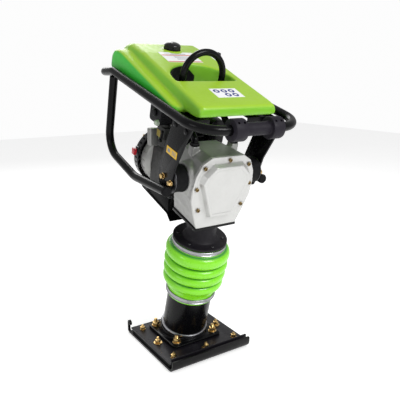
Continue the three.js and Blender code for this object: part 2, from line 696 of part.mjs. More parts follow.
const RECOIL = { radius: 95, front: 272 + GAP, rear: 330 };
const SWITCH = { x: -99, y: 283, z: ENGINE_Z + 21 };
const ROPE = { x: 52, z: ENGINE_Z + 36, radius: 2.2 };
function recoilCover() {
  const bowl = turnedY(
    [
      [0, RECOIL.rear], [52, RECOIL.rear], [66, RECOIL.rear - 6], [RECOIL.radius - 2, RECOIL.rear - 30],
      [RECOIL.radius, RECOIL.rear - 38], [RECOIL.radius, RECOIL.front], [RECOIL.radius - 4, RECOIL.front],
      [RECOIL.radius - 4, RECOIL.rear - 38], [64, RECOIL.rear - 10], [52, RECOIL.rear - 4],
      [7, RECOIL.rear - 4], [7, 280], [0, 280],
    ],
    32,
  );
  const eyelet = turnedY(rod(9, RECOIL.rear - 20, RECOIL.rear + 4), 14, ROPE.x, ROPE.z);
  const ropeHole = turnedY(rod(ROPE.radius + 1, RECOIL.rear - 40, RECOIL.rear + 20), 10, ROPE.x, ROPE.z);
  const switchFoot = block(SWITCH.x + 3, SWITCH.x + 16, SWITCH.y - 9, SWITCH.y + 9, SWITCH.z - 14,
    SWITCH.z + 14);
  const inside = turnedY(rod(RECOIL.radius - 4, RECOIL.front - 2, RECOIL.rear - 38), 32);
  return cut(join(bowl, eyelet, cut(switchFoot, inside)), ropeHole);
}
add(leg, "recoil_cover", recoilCover(), BLACK_PLASTIC);
add(
  leg,
  "recoil_pulley",
  turnedY(
    [[7 + GAP, 284], [44, 284], [44, 286], [38, 288], [38, 292], [44, 294], [44, 296], [7 + GAP, 296]],
    28,
  ),
  BLACK_PLASTIC,
);
const GRIP_FRONT = RECOIL.rear + 8;
add(
  leg,
  "recoil_rope",
  turnedY(rod(ROPE.radius, RECOIL.rear - 8, GRIP_FRONT - GAP), 8, ROPE.x, ROPE.z),
  BLACK_RUBBER,
);
function recoilGrip() {
  const bar = turned([[0, -46], [9, -46], [11, -40], [11, 40], [9, 46], [0, 46]], 14)
    .rotateY(Math.PI / 2)
    .translate(ROPE.x, GRIP_FRONT + 12, ROPE.z);
  const nose = turnedY(rod(8, GRIP_FRONT, GRIP_FRONT + 12), 12, ROPE.x, ROPE.z);
  return join(bar, nose);
}
add(leg, "recoil_grip", recoilGrip(), BLACK_PLASTIC);

const FILTER = { x0: -101, x1: -56, y0: 150, y1: 216, z0: 700, z1: 752 };
add(
  leg,
  "air_filter",
  alongX(rounded(box2(FILTER.y0, FILTER.z0, FILTER.y1, FILTER.z1), 10), FILTER.x0, FILTER.x1),
  BLACK_PLASTIC,
);
const CARB = { x0: -84, x1: -52, y0: 146, y1: 190, z: 676 };
function carburettor() {
  const body = block(CARB.x0, CARB.x1 - 0.5, CARB.y0, CARB.y1, CARB.z - 18, CARB.z + 16);
  const bowl = turned(rod(17, CARB.z - 44, CARB.z - 17), 18).translate(-68, 168, 0);
  const intake = turned(rod(13, CARB.z + 15, FILTER.z0 - GAP), 16).translate(-70, 168, 0);
  return join(body, bowl, intake);
}
add(leg, "carburettor", carburettor(), CAST_ALUMINIUM);
const CHOKE = { x: CARB.x0 - GAP, y: 156, z: CARB.z + 4 };
function chokeLever() {
  const hub = turnedX(rod(5, CHOKE.x - 5, CHOKE.x), 12, CHOKE.y, CHOKE.z);
  const arm = block(CHOKE.x - 5, CHOKE.x - 2, CHOKE.y - 3.5, CHOKE.y + 3.5, CHOKE.z - 26, CHOKE.z);
  const knob = turnedX(rod(6, CHOKE.x - 9, CHOKE.x - 2), 12, CHOKE.y, CHOKE.z - 26);
  return join(hub, arm, knob);
}
add(leg, "choke_lever", chokeLever(), BLACK_PLASTIC);

function muffler() {
  const shell = alongY(rounded(box2(62, 628, 118, 716), 18), 128, 216);
  const stub = turnedX(rod(14, 50 + GAP, 64), 16, CYLINDER_Y, 682);
  const outlet = turnedX(rod(8, 116, 130), 12, 196, 656);
  return join(shell, stub, outlet);
}
add(leg, "muffler", muffler(), BLACK_STEEL);

function stopSwitch() {
  const rocker = block(-9, 0, -8, 8, -10, 10);
  const pivot = turnedY(rod(3, -9, 9), 10, -3, 0);
  return join(rocker, pivot).translate(SWITCH.x, SWITCH.y, SWITCH.z);
}
add(leg, "stop_switch", stopSwitch(), RED_PLASTIC);

// ---------------------------------------------------------------- skid plate under the engine
function skidPlate() {
  const tray = alongX(
    plateOutline(rounded([[86, 412], [112, 428], [280, 434], [300, 442]], 12, false), 4),
    -60,
    60,
  );
  const web = (x) => alongX([[110, 428], [232, 432], [232, 472 - GAP], [120, 472 - GAP]], x - 3, x + 3);
  return join(tray, web(-52), web(52));
}
add(leg, "skid_plate", skidPlate(), BLACK_STEEL);

// ---------------------------------------------------------------- handle: loop, arms and guard tubes
const REAR_BAR_Z = 765;
const LEVER = { y: 293, z: HANDLE_Z + 27 }; // throttle lever's pivot
function handleLoop() {
  const half = rounded(
    [[-1, HANDLE_FRONT, HANDLE_Z], [HANDLE_HALF, HANDLE_FRONT, HANDLE_Z], [HANDLE_HALF, 356, HANDLE_Z],
      [HANDLE_HALF, HANDLE_REAR, REAR_BAR_Z], [-1, HANDLE_REAR, REAR_BAR_Z]],
    [0, 76, 60, 74, 0],
    false,
    5,
  );
  const right = pipe(half, TUBE_RADIUS, 10);
  const left = pipe(half.map(([x, y, z]) => [-x, y, z]), TUBE_RADIUS, 10);
  const leverFoot = block(HANDLE_HALF - 7, HANDLE_HALF + 7, LEVER.y - 10, LEVER.y + 10, HANDLE_Z + 8,
    HANDLE_Z + 17);
  return join(right, left, leverFoot);
}
add(leg, "handle_loop", handleLoop(), BLACK_PAINT);

const armOutline = rounded(
  [[-90, 787], [-70, 748], [-37, 660], [-32, 620], [-22, 566], [14, 560], [36, 592], [47, 626],
    [27, 702], [8, 762], [4, 787]],
  [3, 0, 20, 10, 8, 10, 8, 16, 0, 0, 3],
  true,
  2,
);
add(leg, "handle_arm_left", alongX(armOutline, -ARM.outer, -ARM.inner), BLACK_PAINT);
add(leg, "handle_arm_right", alongX(armOutline, ARM.inner, ARM.outer), BLACK_PAINT);

function guardTube(side) {
  const x = HANDLE_HALF * side;
  const route = rounded(
    [[x, 347, HANDLE_Z - TUBE_RADIUS - 2], [x, 347, 556], [x, 150, 548], [x, -36, 592]],
    [0, 66, 120, 0],
    false,
    5,
  );
  return pipe(route, TUBE_RADIUS, 10);
}
add(leg, "guard_tube_left", guardTube(-1), BLACK_PAINT);
add(leg, "guard_tube_right", guardTube(1), BLACK_PAINT);

// ---------------------------------------------------------------- throttle lever
function throttleLever() {
  const hub = turnedX(rod(9, HANDLE_HALF - 5, HANDLE_HALF + 5), 16, LEVER.y, LEVER.z);
  const arm = alongX(
    [[LEVER.y - 5, LEVER.z], [LEVER.y + 5, LEVER.z], [LEVER.y + 3, 868], [LEVER.y - 3, 868]],
    HANDLE_HALF - 3,
    HANDLE_HALF + 3,
  );
  const knob = turned([[0, 858], [6, 860], [10, 868], [9, 878], [0, 881]],
    14).translate(HANDLE_HALF, LEVER.y, 0);
  return join(hub, arm, knob);
}
add(leg, "throttle_lever", throttleLever(), BLACK_PLASTIC);

// ---------------------------------------------------------------- front roller
const ROLLER = { bore: 13.3, collar: 28.5, middle: 17, end: 76, inner: 40 };
add(
  leg,
  "front_roller",
  turnedX(
    [
      [ROLLER.bore, -ROLLER.end], [ROLLER.collar - 3, -ROLLER.end], [ROLLER.collar, -ROLLER.end + 3],
      [ROLLER.collar, -ROLLER.inner], [ROLLER.middle, -ROLLER.inner], [ROLLER.middle, ROLLER.inner],
      [ROLLER.collar, ROLLER.inner], [ROLLER.collar, ROLLER.end - 3], [ROLLER.collar - 3, ROLLER.end],
      [ROLLER.bore, ROLLER.end],
    ],
    28,
    HANDLE_FRONT,
    HANDLE_Z,
  ),
  BLACK_PLASTIC,
);

// ---------------------------------------------------------------- fuel tank
// The sloping top of the tank, flatter behind the filler cap, and the top of the side ledges.
const deckZ = (y) => 833 + (Math.min(y, 280) + 62) * 0.13 + Math.max(y - 280, 0) * 0.05;
const ledgeZ = (y) => 807.4 + y * 0.155;
// The raised hull stands this much further out on the right.
const HULL_SHIFT = 9;
const hullStations = [
  { y: 424, bottom: 808, hull: 108, top: 98, drop: 48 },
  { y: 413, bottom: 801, hull: 113, top: 104, drop: 25 },
  { y: 394, bottom: 797, hull: 115, top: 107, drop: 9 },
  { y: 366, bottom: 796, hull: 116, top: 108, drop: 0 },
  { y: 280, bottom: 796, hull: 116, top: 109, drop: 0 },
  { y: 110, bottom: 796, hull: 117, top: 111, drop: 0 },
  { y: -40, bottom: 800, hull: 120, top: 114, drop: 0 },
  { y: -60, bottom: 804, hull: 119, top: 113, drop: 1 },
  { y: -66, bottom: 807, hull: 116, top: 110, drop: 7 },
];
const ledgeStations = [
  { y: 422, bottom: 802, ledge: 141, drop: 50 },
  { y: 411, bottom: 797, ledge: 146, drop: 28 },
  { y: 394, bottom: 795, ledge: 148.5, drop: 12 },
  { y: 368, bottom: 794, ledge: 149, drop: 3 },
  { y: 345, bottom: 794, ledge: 149, drop: 0 },
  { y: 90, bottom: 793, ledge: 149, drop: 0 },
  { y: 40, bottom: 792, ledge: 149, drop: 0 },
  { y: 26, bottom: 792, ledge: 146, drop: 1 },
  { y: 16, bottom: 792, ledge: 137, drop: 2 },
  { y: 10, bottom: 792, ledge: 124, drop: 3 },
];
// Cross-sections of the raised hull and of the side ledges, shrunk by inset.
function hullSection({ y, bottom, hull, top, drop }, inset) {
  const deck = deckZ(y) - drop - inset;
  const side = (shift) => [
    [hull - 4 - inset + shift, bottom + inset],
    [hull - inset + shift, bottom + inset + 4],
    [hull - inset + shift, Math.max(bottom + inset + 6, Math.min(ledgeZ(y) + 1, deck - 12))],
    [top + 3 - inset + shift, deck - 7],
    [top - 5 - inset + shift, deck],
  ];
  const left = side(0).map(([x, z]) => [-x, z]);
  return section([...side(HULL_SHIFT), ...left.reverse()], y);
}
function ledgeSection({ y, bottom, ledge, drop }, inset) {
  const deck = Math.min(ledgeZ(y), deckZ(y) - 14) - drop - inset;
  const half = [
    [ledge - 4 - inset, bottom + inset],
    [ledge - inset, bottom + inset + 3],
    [ledge - 1 - inset, deck - 5],
    [ledge - 8 - inset, deck],
  ];
  return section(mirrored(half), y);
}
const TANK_WALL = 5;
const HOLE = { half: 97, middle: -3, front: 88, back: 200, shoulder: 104 };
function holeOutline(grow) {
  const steps = 14;
  const arch = Array.from({ length: steps + 1 }, (_, i) => {
    const angle = (Math.PI * i) / steps;
    const depth = HOLE.back - HOLE.shoulder + grow;
    return [HOLE.middle + (HOLE.half + grow) * Math.cos(angle), HOLE.shoulder + depth * Math.sin(angle)];
  });
  const corner = (side) => [HOLE.middle + side * (HOLE.half + grow), HOLE.front - grow];
  return [...arch, corner(-1), corner(1)];
}
function fuelTank() {
  const outside = join(
    loft(hullStations.map((station) => hullSection(station, 0))),
    loft(ledgeStations.map((station) => ledgeSection(station, 0))),
  );
  const inside = join(
    loft(hullStations.slice(2, -1).map((station) => hullSection(station, TANK_WALL))),
    loft(ledgeStations.slice(2, -4).map((station) => ledgeSection(station, TANK_WALL))),
  );
  const hole = alongZ(holeOutline(0), 760, 900);
  const holeWall = alongZ(holeOutline(TANK_WALL), 760, 900);
  const neck = turned(rod(28, 850, deckZ(CAP_Y) + 3), 24).translate(0, CAP_Y, 0);
  const filler = turned(rod(21, 840, 900), 20).translate(0, CAP_Y, 0);
  const tapBoss = block(-96, -76, 28, 52, 770, 800);
  const chamber = cut(inside, holeWall);
  return cut(join(outside, neck, tapBoss), hole, chamber, filler);
}
add(leg, "fuel_tank", fuelTank(), LIME_PLASTIC);

const NECK_TOP = deckZ(CAP_Y) + 3;
const atCap = (geometry) => geometry.translate(0, CAP_Y, 0);
add(leg, "cap_gasket", atCap(turned(ring(19, 26, NECK_TOP + GAP, NECK_TOP + 3), 24)), BLACK_RUBBER);
function fillerCap() {
  const base = NECK_TOP + 3 + GAP;
  const ribs = Array.from({ length: 24 }, (_, i) => {
    const angle = (2 * Math.PI * i) / 24;
    const radius = i % 2 ? 27 : 25;
    return [radius * Math.cos(angle), radius * Math.sin(angle)];
  });
  const skirt = alongZ(ribs, base, base + 14);
  const dome = turned([[0, base + 13], [24, base + 13], [22, base + 18], [14, base + 21],
    [0, base + 22]], 24);
  const stem = turned(rod(17, base - 20, base + 1), 20);
  return atCap(join(skirt, dome, stem));
}
add(leg, "filler_cap", fillerCap(), BLACK_PLASTIC);

const TAP = { x: -96 - GAP, y: 40, z: 780 };
function fuelTap() {
  const hub = turnedX(rod(8, TAP.x - 7, TAP.x), 14, TAP.y, TAP.z);
  const lever = block(TAP.x - 7, TAP.x - 3, TAP.y - 3, TAP.y + 3, TAP.z - 26, TAP.z);
  return join(hub, lever);
}
add(leg, "fuel_tap", fuelTap(), BLACK_PLASTIC);

export default rammer;
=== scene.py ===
"""Looks of an upright petrol rammer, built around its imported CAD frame."""
import json
import math
import random

import bmesh
import bpy
from mathutils import Matrix, Vector


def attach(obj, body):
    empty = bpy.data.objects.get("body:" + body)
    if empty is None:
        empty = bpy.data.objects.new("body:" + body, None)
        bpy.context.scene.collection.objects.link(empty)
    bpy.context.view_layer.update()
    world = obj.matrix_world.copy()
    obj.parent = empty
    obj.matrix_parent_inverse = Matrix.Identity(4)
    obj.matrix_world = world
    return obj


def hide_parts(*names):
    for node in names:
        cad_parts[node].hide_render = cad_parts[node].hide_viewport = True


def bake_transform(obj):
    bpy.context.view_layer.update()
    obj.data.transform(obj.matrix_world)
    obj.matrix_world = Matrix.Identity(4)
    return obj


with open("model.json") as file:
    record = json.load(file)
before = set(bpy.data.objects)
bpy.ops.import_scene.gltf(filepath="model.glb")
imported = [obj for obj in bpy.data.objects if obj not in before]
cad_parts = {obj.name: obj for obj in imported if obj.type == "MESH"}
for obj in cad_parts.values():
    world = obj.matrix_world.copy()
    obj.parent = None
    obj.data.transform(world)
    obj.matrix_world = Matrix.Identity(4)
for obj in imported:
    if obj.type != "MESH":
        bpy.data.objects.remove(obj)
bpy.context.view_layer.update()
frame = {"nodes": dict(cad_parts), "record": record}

bl_info = {
    "name": "Petrol rammer",
    "version": (1, 0, 0),
    "blender": (4, 5, 0),
    "location": "View3D > Sidebar > Rammer",
    "description": "Builds the looks of an upright petrol rammer around its frame",
    "category": "Object",
}

# ---------------------------------------------------------------- places and sizes, in millimetres
MM = 0.001
LEAN = math.radians(16.5)
LEG_FOOT_Y = 0.036
# Shoe pieces are drawn in ground millimetres, all others in the leaning leg's own millimetres.
GROUND = Matrix.Scale(MM, 4)
LEG = Matrix.Translation((0, LEG_FOOT_Y, 0)) @ Matrix.Rotation(LEAN, 4, "X") @ GROUND
LEG_UP = Vector((0, -math.sin(LEAN), math.cos(LEAN)))
GAP = 0.3

SHOE_TOP = 23.6
CASTING_TOP = 33
STUD_PLACES = ((-68, -46), (68, -46), (-70, 90), (70, 90))
CORNER_BOLTS = ((-113, -104), (113, -104), (-113, 104), (113, 104))
WASHER_BOLTS = ((-112, -2), (112, -2), (0, -112))

LEG_RADIUS = 71
LEG_BORE = 64
LEG_BOTTOM = 58.3
LEG_TOP = 290
CUFF_RADIUS = 76.5
GROOVE_RADIUS = 80
# Each ridge of the bellows: height up the leg, radius, half height.
RIDGES = ((254, 95, 16), (286.5, 97.5, 16.5), (318.5, 99, 15.5), (355, 99, 21))

CASE_FRONT = -57
CASE_BOTTOM = 476
COVER_FACE = -64
ENGINE_Z = 545
SWAY_Y = -8
SWAY_Z = 614
ARM_OUTER = 149

TUBE_RADIUS = 12.5
HANDLE_HALF = 163
HANDLE_FRONT = -141
HANDLE_Z = 801
HANDLE_REAR = 472
REAR_BAR_Z = 765
CAP_Y = 305

# The tank's top rises by one slope to a bend and by a flatter one behind it.
DECK_FRONT = -62
DECK_BEND = 280
DECK_LEVEL = 833
DECK_SLOPE = 0.13
REAR_SLOPE = 0.05
LEDGE_LEVEL = 807.4
LEDGE_SLOPE = 0.155
# The well in the tank: straight in front, and an arch from its shoulders to its back.
WELL_MIDDLE = -3
WELL_HALF = 97
WELL_FRONT = 88
WELL_SHOULDER = 104
WELL_BACK = 200

BODY_OF = {
    node: body
    for body, nodes in frame["record"]["behaviour"]["bodies"].items()
    for node in nodes
}


# ---------------------------------------------------------------- settings a user may change
def length(name, text, default):
    return bpy.props.FloatProperty(name=name, description=text, default=default, unit="LENGTH", precision=5)


def colour(name, text, code):
    return bpy.props.FloatVectorProperty(
        name=name, description=text, subtype="COLOR", size=3, min=0, max=1, default=linear(code)[:3]
    )


def linear(code):
    """Linear RGBA of an sRGB hex colour."""
    parts = [int(code[i : i + 2], 16) / 255 for i in (1, 3, 5)]
    return tuple(c / 12.92 if c <= 0.04045 else ((c + 0.055) / 1.055) ** 2.4 for c in parts) + (1.0,)


class RAMMER_PG_sizes(bpy.types.PropertyGroup):
    """Sizes of the finish that a user may change."""

    tank_voxel: length("Tank voxel", "Grid that the moulded tank is rounded on", 0.003)
    cast_voxel: length("Casting voxel", "Grid that castings are rounded on", 0.0022)
    plate_edge: length("Plate edge", "Width of the worn edge on steel plates", 0.0008)
    floor_half: length("Floor half", "Half the side of the floor", 6.0)


class RAMMER_PG_colours(bpy.types.PropertyGroup):
    """Colours that a user may change."""

    # The tank is one lime plastic: its upright walls get a darker copy of it as painted shade.
    tank_top: colour("Tank top", "Faces of the tank that look up", "#9cc626")
    tank_side_shade: colour("Tank side", "Upright faces of the tank", "#34c236")
    # The bellows' grooves get a dark green mixed in by depth as painted shade.
    bellows_ridge: colour("Bellows ridge", "Outside of the bellows' ridges", "#7fd81a")
    bellows_groove_shade: colour("Bellows groove", "Bottom of the bellows' grooves", "#0b7a36")
    enamel: colour("Enamel", "Paint on tubes, arms and castings", "#08080a")
    shoe_enamel: colour("Shoe enamel", "Paint on the shoe", "#0c0a0c")
    shoe_plate: colour("Shoe plate", "Paint on the shoe's top plate", "#17151a")
    casting: colour("Casting", "Blasted aluminium", "#9c9c9a")
    cover: colour("Cover", "Smooth cast cover", "#c4c4c2")
    zinc: colour("Zinc", "Yellow passivated fasteners", "#cdae74")
    steel: colour("Steel", "Bright clamps and shafts", "#9c9ca0")
    rubber: colour("Rubber", "Mounts and gaskets", "#0b0b0d")
    nylon: colour("Nylon", "Moulded black pieces", "#0f0e12")
    roller: colour("Roller", "Front roller", "#17131d")
    switch: colour("Switch", "Stop switch", "#c3142a")
    floor: colour("Floor", "Studio floor", "#f4f4f4")


def sizes():
    return bpy.context.scene.rammer_sizes


def colours():
    return bpy.context.scene.rammer_colours


# ---------------------------------------------------------------- materials
def add_node(tree, kind, settings=None, **sockets):
    """Adds a node, sets it and fills its sockets, given by name or as i and a number."""
    node = tree.nodes.new(kind)
    for key, value in (settings or {}).items():
        setattr(node, key, value)
    for key, value in sockets.items():
        numbered = key[0] == "i" and key[1:].isdigit()
        socket = node.inputs[int(key[1:]) if numbered else key.replace("_", " ")]
        if isinstance(value, bpy.types.NodeSocket):
            tree.links.new(value, socket)
        else:
            socket.default_value = value
    return node


def per_mm(size):
    """Scale of a pattern on Object coordinates whose features are size millimetres apart."""
    return 1 / (size * MM)


def shade(rgb, factor):
    return tuple(min(1, max(0, c * factor)) for c in rgb[:3]) + (1.0,)


def finish(
    name,
    rgb,
    roughness=0.5,
    metallic=0.0,
    mottle=(30, 0.12),
    grain=(0.8, 0.15, 0.05),
    rough_spread=0.08,
    second=None,
    attribute=None,
    coat=0.0,
    **extra,
):
    """A finish: mottle is size in mm and share, grain is size in mm, strength and depth in mm."""
    material = bpy.data.materials.get(name)
    if material:
        return material
    material = bpy.data.materials.new(name)
    material.use_nodes = True
    tree = material.node_tree
    tree.nodes.clear()
    place = add_node(tree, "ShaderNodeTexCoord").outputs["Object"]
    wide = add_node(tree, "ShaderNodeTexNoise", Vector=place, Scale=per_mm(mottle[0]), Detail=3.0)
    tone = add_node(
        tree,
        "ShaderNodeMix",
        {"data_type": "RGBA"},
        i0=wide.outputs["Fac"],
        i6=shade(rgb, 1 + mottle[1]),
        i7=shade(rgb, 1 - mottle[1]),
    ).outputs[2]
    if second is not None:
        share = add_node(tree, "ShaderNodeAttribute", {"attribute_name": attribute}).outputs["Fac"]
        other = add_node(
            tree,
            "ShaderNodeMix",
            {"data_type": "RGBA"},
            i0=wide.outputs["Fac"],
            i6=shade(second, 1 + mottle[1]),
            i7=shade(second, 1 - mottle[1]),
        ).outputs[2]
        tone = add_node(tree, "ShaderNodeMix", {"data_type": "RGBA"}, i0=share, i6=tone, i7=other).outputs[2]
    fine = add_node(tree, "ShaderNodeTexNoise", Vector=place, Scale=per_mm(grain[0]), Detail=4.0)
    patch = add_node(tree, "ShaderNodeTexNoise", Vector=place, Scale=per_mm(12), Detail=2.0)
    gloss = add_node(
        tree,
        "ShaderNodeMapRange",
        i0=patch.outputs["Fac"],
        i1=0.3,
        i2=0.7,
        i3=max(0.04, roughness - rough_spread),
        i4=roughness + rough_spread,
    )
    bump = add_node(
        tree, "ShaderNodeBump", Strength=grain[1], Distance=grain[2] * MM, Height=fine.outputs["Fac"]
    )
    shader = add_node(
        tree,
        "ShaderNodeBsdfPrincipled",
        Base_Color=tone,
        Roughness=gloss.outputs["Result"],
        Metallic=metallic,
        Normal=bump.outputs["Normal"],
        Coat_Weight=coat,
        Coat_Roughness=0.12,
        **extra,
    )
    add_node(tree, "ShaderNodeOutputMaterial", Surface=shader.outputs["BSDF"])
    return material


def coating(slot, *values, **settings):
    """A finish, with the record's material slot that it stands for."""
    return finish(*values, **settings), slot


def finishes():
    """Every finish by its own name."""
    c = colours()
    hard_grain = (0.7, 0.12, 0.04)
    return {
        # Two-pack enamel sprayed on steel: deep black, smooth with a faint orange peel.
        "enamel": coating(
            "black_paint", "Black gloss enamel", c.enamel, 0.24, mottle=(40, 0.2), grain=(4, 0.04, 0.04),
            rough_spread=0.05, IOR=1.28, Specular_IOR_Level=0.4
        ),
        # The same paint on the shoe, duller and dusty.
        "shoe_enamel": coating(
            "shoe_black", "Shoe enamel", c.shoe_enamel, 0.4, mottle=(25, 0.35), grain=(1.5, 0.2, 0.08),
            IOR=1.3, Specular_IOR_Level=0.4
        ),
        "plate_enamel": coating(
            "shoe_plate", "Shoe plate enamel", c.shoe_plate, 0.34, mottle=(35, 0.25),
            grain=(1.2, 0.15, 0.06), IOR=1.3, Specular_IOR_Level=0.4
        ),
        # Sand-cast aluminium, shot blasted: grey with a fine pitted grain.
        "casting": coating(
            "cast_aluminium", "Blasted cast aluminium", c.casting, 0.46, 0.6, mottle=(18, 0.08),
            grain=(1.3, 0.35, 0.12)
        ),
        # Die-cast cover, tumbled: lighter and smoother.
        "cover": coating(
            "cast_aluminium", "Die cast cover aluminium", c.cover, 0.4, 0.55, mottle=(25, 0.05),
            grain=(0.9, 0.18, 0.06)
        ),
        "black_casting": coating(
            "black_paint", "Black coated casting", c.enamel, 0.5, mottle=(15, 0.3), grain=(1.2, 0.3, 0.1),
            IOR=1.35, Specular_IOR_Level=0.4
        ),
        # Cast aluminium darkened to an eighth of its grey.
        "dull_casting": coating(
            "cast_aluminium", "Oil darkened casting", shade(c.casting, 0.12)[:3], 0.5, 0.6, mottle=(9, 0.3),
            grain=(1.3, 0.35, 0.12)
        ),
        "guide": coating(
            "black_paint", "Satin black coating", c.shoe_plate, 0.55, mottle=(30, 0.12), grain=hard_grain,
            IOR=1.35, Specular_IOR_Level=0.4
        ),
        # Rolled and turned steel.
        "steel": coating(
            "steel", "Rolled steel", c.steel, 0.32, 1.0, mottle=(10, 0.12), grain=(0.5, 0.1, 0.02)
        ),
        "dark_steel": coating(
            "steel", "Oiled steel", shade(c.steel, 0.35)[:3], 0.4, 1.0, mottle=(10, 0.2), grain=hard_grain
        ),
        # Yellow passivated zinc: brassy, with a faint drift of tone.
        "zinc": coating(
            "zinc_gold", "Yellow zinc plate", c.zinc, 0.28, 1.0, mottle=(5, 0.22), grain=(0.5, 0.12, 0.02)
        ),
        # Yellow zinc darkened to a third for the cover screws: painted shade of the recesses they sit in.
        "recess_shade_zinc": coating(
            "zinc_gold", "Darkened zinc plate", shade(c.zinc, 0.3)[:3], 0.4, 0.9, mottle=(4, 0.3),
            grain=(0.5, 0.2, 0.03)
        ),
        # Polyurethane bellows: bright, slightly waxy, with painted shade in the grooves of the folds.
        "bellows": coating(
            "lime_rubber", "Lime polyurethane", c.bellows_ridge, 0.3, mottle=(30, 0.06),
            grain=(2.5, 0.1, 0.05),
            second=c.bellows_groove_shade, attribute="groove_shade", coat=0.25,
        ),
        # Rotomoulded polyethylene: soft sheen and a very fine orange peel, with painted shade on its upright
        # walls.
        "tank": coating(
            "lime_plastic", "Lime polyethylene", c.tank_top, 0.36, mottle=(45, 0.05), grain=(1.6, 0.14, 0.06),
            second=c.tank_side_shade, attribute="wall_shade",
        ),
        "rubber": coating(
            "black_rubber", "Vulcanised rubber", c.rubber, 0.72, mottle=(12, 0.2), grain=(0.6, 0.3, 0.06),
            IOR=1.35, Specular_IOR_Level=0.3
        ),
        "nylon": coating(
            "black_plastic", "Moulded black nylon", c.nylon, 0.48, mottle=(20, 0.15),
            grain=(0.8, 0.3, 0.06), IOR=1.35, Specular_IOR_Level=0.35
        ),
        "gloss_nylon": coating(
            "black_plastic", "Glossy black nylon", c.nylon, 0.22, mottle=(20, 0.15),
            grain=(1.5, 0.08, 0.04), Specular_IOR_Level=0.4
        ),
        "roller": coating(
            "black_plastic", "Turned polyamide", c.roller, 0.6, mottle=(10, 0.14), grain=(0.5, 0.25, 0.05),
            Specular_IOR_Level=0.25
        ),
        "switch": coating(
            "red_plastic", "Red polycarbonate", c.switch, 0.3, mottle=(8, 0.08), grain=(0.8, 0.08, 0.02),
            coat=0.3
        ),
        "ceramic": coating(
            "ceramic", "Glazed alumina", linear("#e8e6df")[:3], 0.2, mottle=(10, 0.03),
            grain=(1, 0.05, 0.02)
        ),
        "white_vinyl": coating(
            None, "White vinyl film", linear("#f2f3f5")[:3], 0.35, mottle=(20, 0.02), grain=(1, 0.05, 0.02)
        ),
        "blue_ink": coating(
            None, "Blue ink", linear("#20307c")[:3], 0.35, mottle=(4, 0.06), grain=(1, 0.05, 0.02)
        ),
        "orange_ink": coating(
            None, "Orange ink", linear("#c94f1c")[:3], 0.35, mottle=(4, 0.06), grain=(1, 0.05, 0.02)
        ),
        "grey_ink": coating(
            None, "Grey ink", linear("#7e828c")[:3], 0.35, mottle=(4, 0.06), grain=(1, 0.05, 0.02)
        ),
        "yellow_vinyl": coating(
            None, "Yellow vinyl film", linear("#d8ac14")[:3], 0.35, mottle=(8, 0.06), grain=(1, 0.05, 0.02)
        ),
        # A darker yellow film than the arm's label.
        "olive_vinyl": coating(
            None, "Faded yellow film", linear("#85741c")[:3], 0.4, mottle=(8, 0.1), grain=(1, 0.05, 0.02)
        ),
        "clear": coating(
            None, "Clear polyamide", linear("#e4f5dc")[:3], 0.1, mottle=(8, 0.03), grain=(2, 0.05, 0.02),
                Transmission_Weight=0.5, IOR=1.5,
        ),
    }


# ---------------------------------------------------------------- shapes
def spun(bm, profile, steps=72, place=None, closed=True):
    """Turns a profile of radius and height about Z. A closed profile makes a ring."""
    old = set(bm.verts)
    points = [bm.verts.new((r, 0, h)) for r, h in profile]
    pairs = list(zip(points, points[1:]))
    if closed:
        pairs.append((points[-1], points[0]))
    edges = [bm.edges.new(pair) for pair in pairs]
    bmesh.ops.spin(
        bm, geom=points + edges, cent=(0, 0, 0), axis=(0, 0, 1), dvec=(0, 0, 0),
        angle=2 * math.pi, steps=steps, use_merge=True, use_duplicate=False,
    )
    new = [v for v in bm.verts if v not in old]
    bmesh.ops.remove_doubles(bm, verts=new, dist=0.001)
    new = [v for v in bm.verts if v not in old]
    if place is not None:
        bmesh.ops.transform(bm, matrix=place, verts=new)
    return new


def solid_spun(bm, profile, steps=72, place=None):
    """A turned solid whose profile begins and ends on the axis."""
    return spun(bm, profile, steps, place, closed=False)


def along(axis, x=0, y=0, z=0):
    """A turned part's Z axis laid along X or Y, or left upright, with its foot at a point."""
    turn = {
        "x": Matrix.Rotation(math.pi / 2, 4, "Y"),
        "-x": Matrix.Rotation(-math.pi / 2, 4, "Y"),
        "y": Matrix.Rotation(-math.pi / 2, 4, "X"),
        "-y": Matrix.Rotation(math.pi / 2, 4, "X"),
        "z": Matrix(),
    }[axis]
    return Matrix.Translation((x, y, z)) @ turn


ENGINE_AXIS = along("y", 0, 0, ENGINE_Z)


def slab(bm, outline, depth, place=None):
    """An outline in X and Y, pulled up to depth."""
    old = set(bm.verts)
    corners = [bm.verts.new((u, v, 0)) for u, v in outline]
    face = bm.faces.new(corners)
    pulled = bmesh.ops.extrude_face_region(bm, geom=[face])["geom"]
    bmesh.ops.translate(bm, vec=(0, 0, depth), verts=[g for g in pulled if isinstance(g, bmesh.types.BMVert)])
    new = [v for v in bm.verts if v not in old]
    if place is not None:
        bmesh.ops.transform(bm, matrix=place, verts=new)
    return new


def block(bm, low, high, place=None):
    low, high = Vector(low), Vector(high)
    matrix = Matrix.Translation((low + high) / 2) @ Matrix.Diagonal((*(high - low), 1))
    if place is not None:
        matrix = place @ matrix
    return bmesh.ops.create_cube(bm, size=1, matrix=matrix)["verts"]


def soften(bm, width, segments=2, angle=28):
    """Bevels every edge that is sharper than an angle."""
    bmesh.ops.recalc_face_normals(bm, faces=bm.faces)
    sharp = [e for e in bm.edges if len(e.link_faces) == 2 and e.calc_face_angle(0) > math.radians(angle)]
    bmesh.ops.bevel(
        bm, geom=sharp, offset=width, offset_type="OFFSET", segments=segments, profile=0.5,
        affect="EDGES", clamp_overlap=True, material=-1,
    )


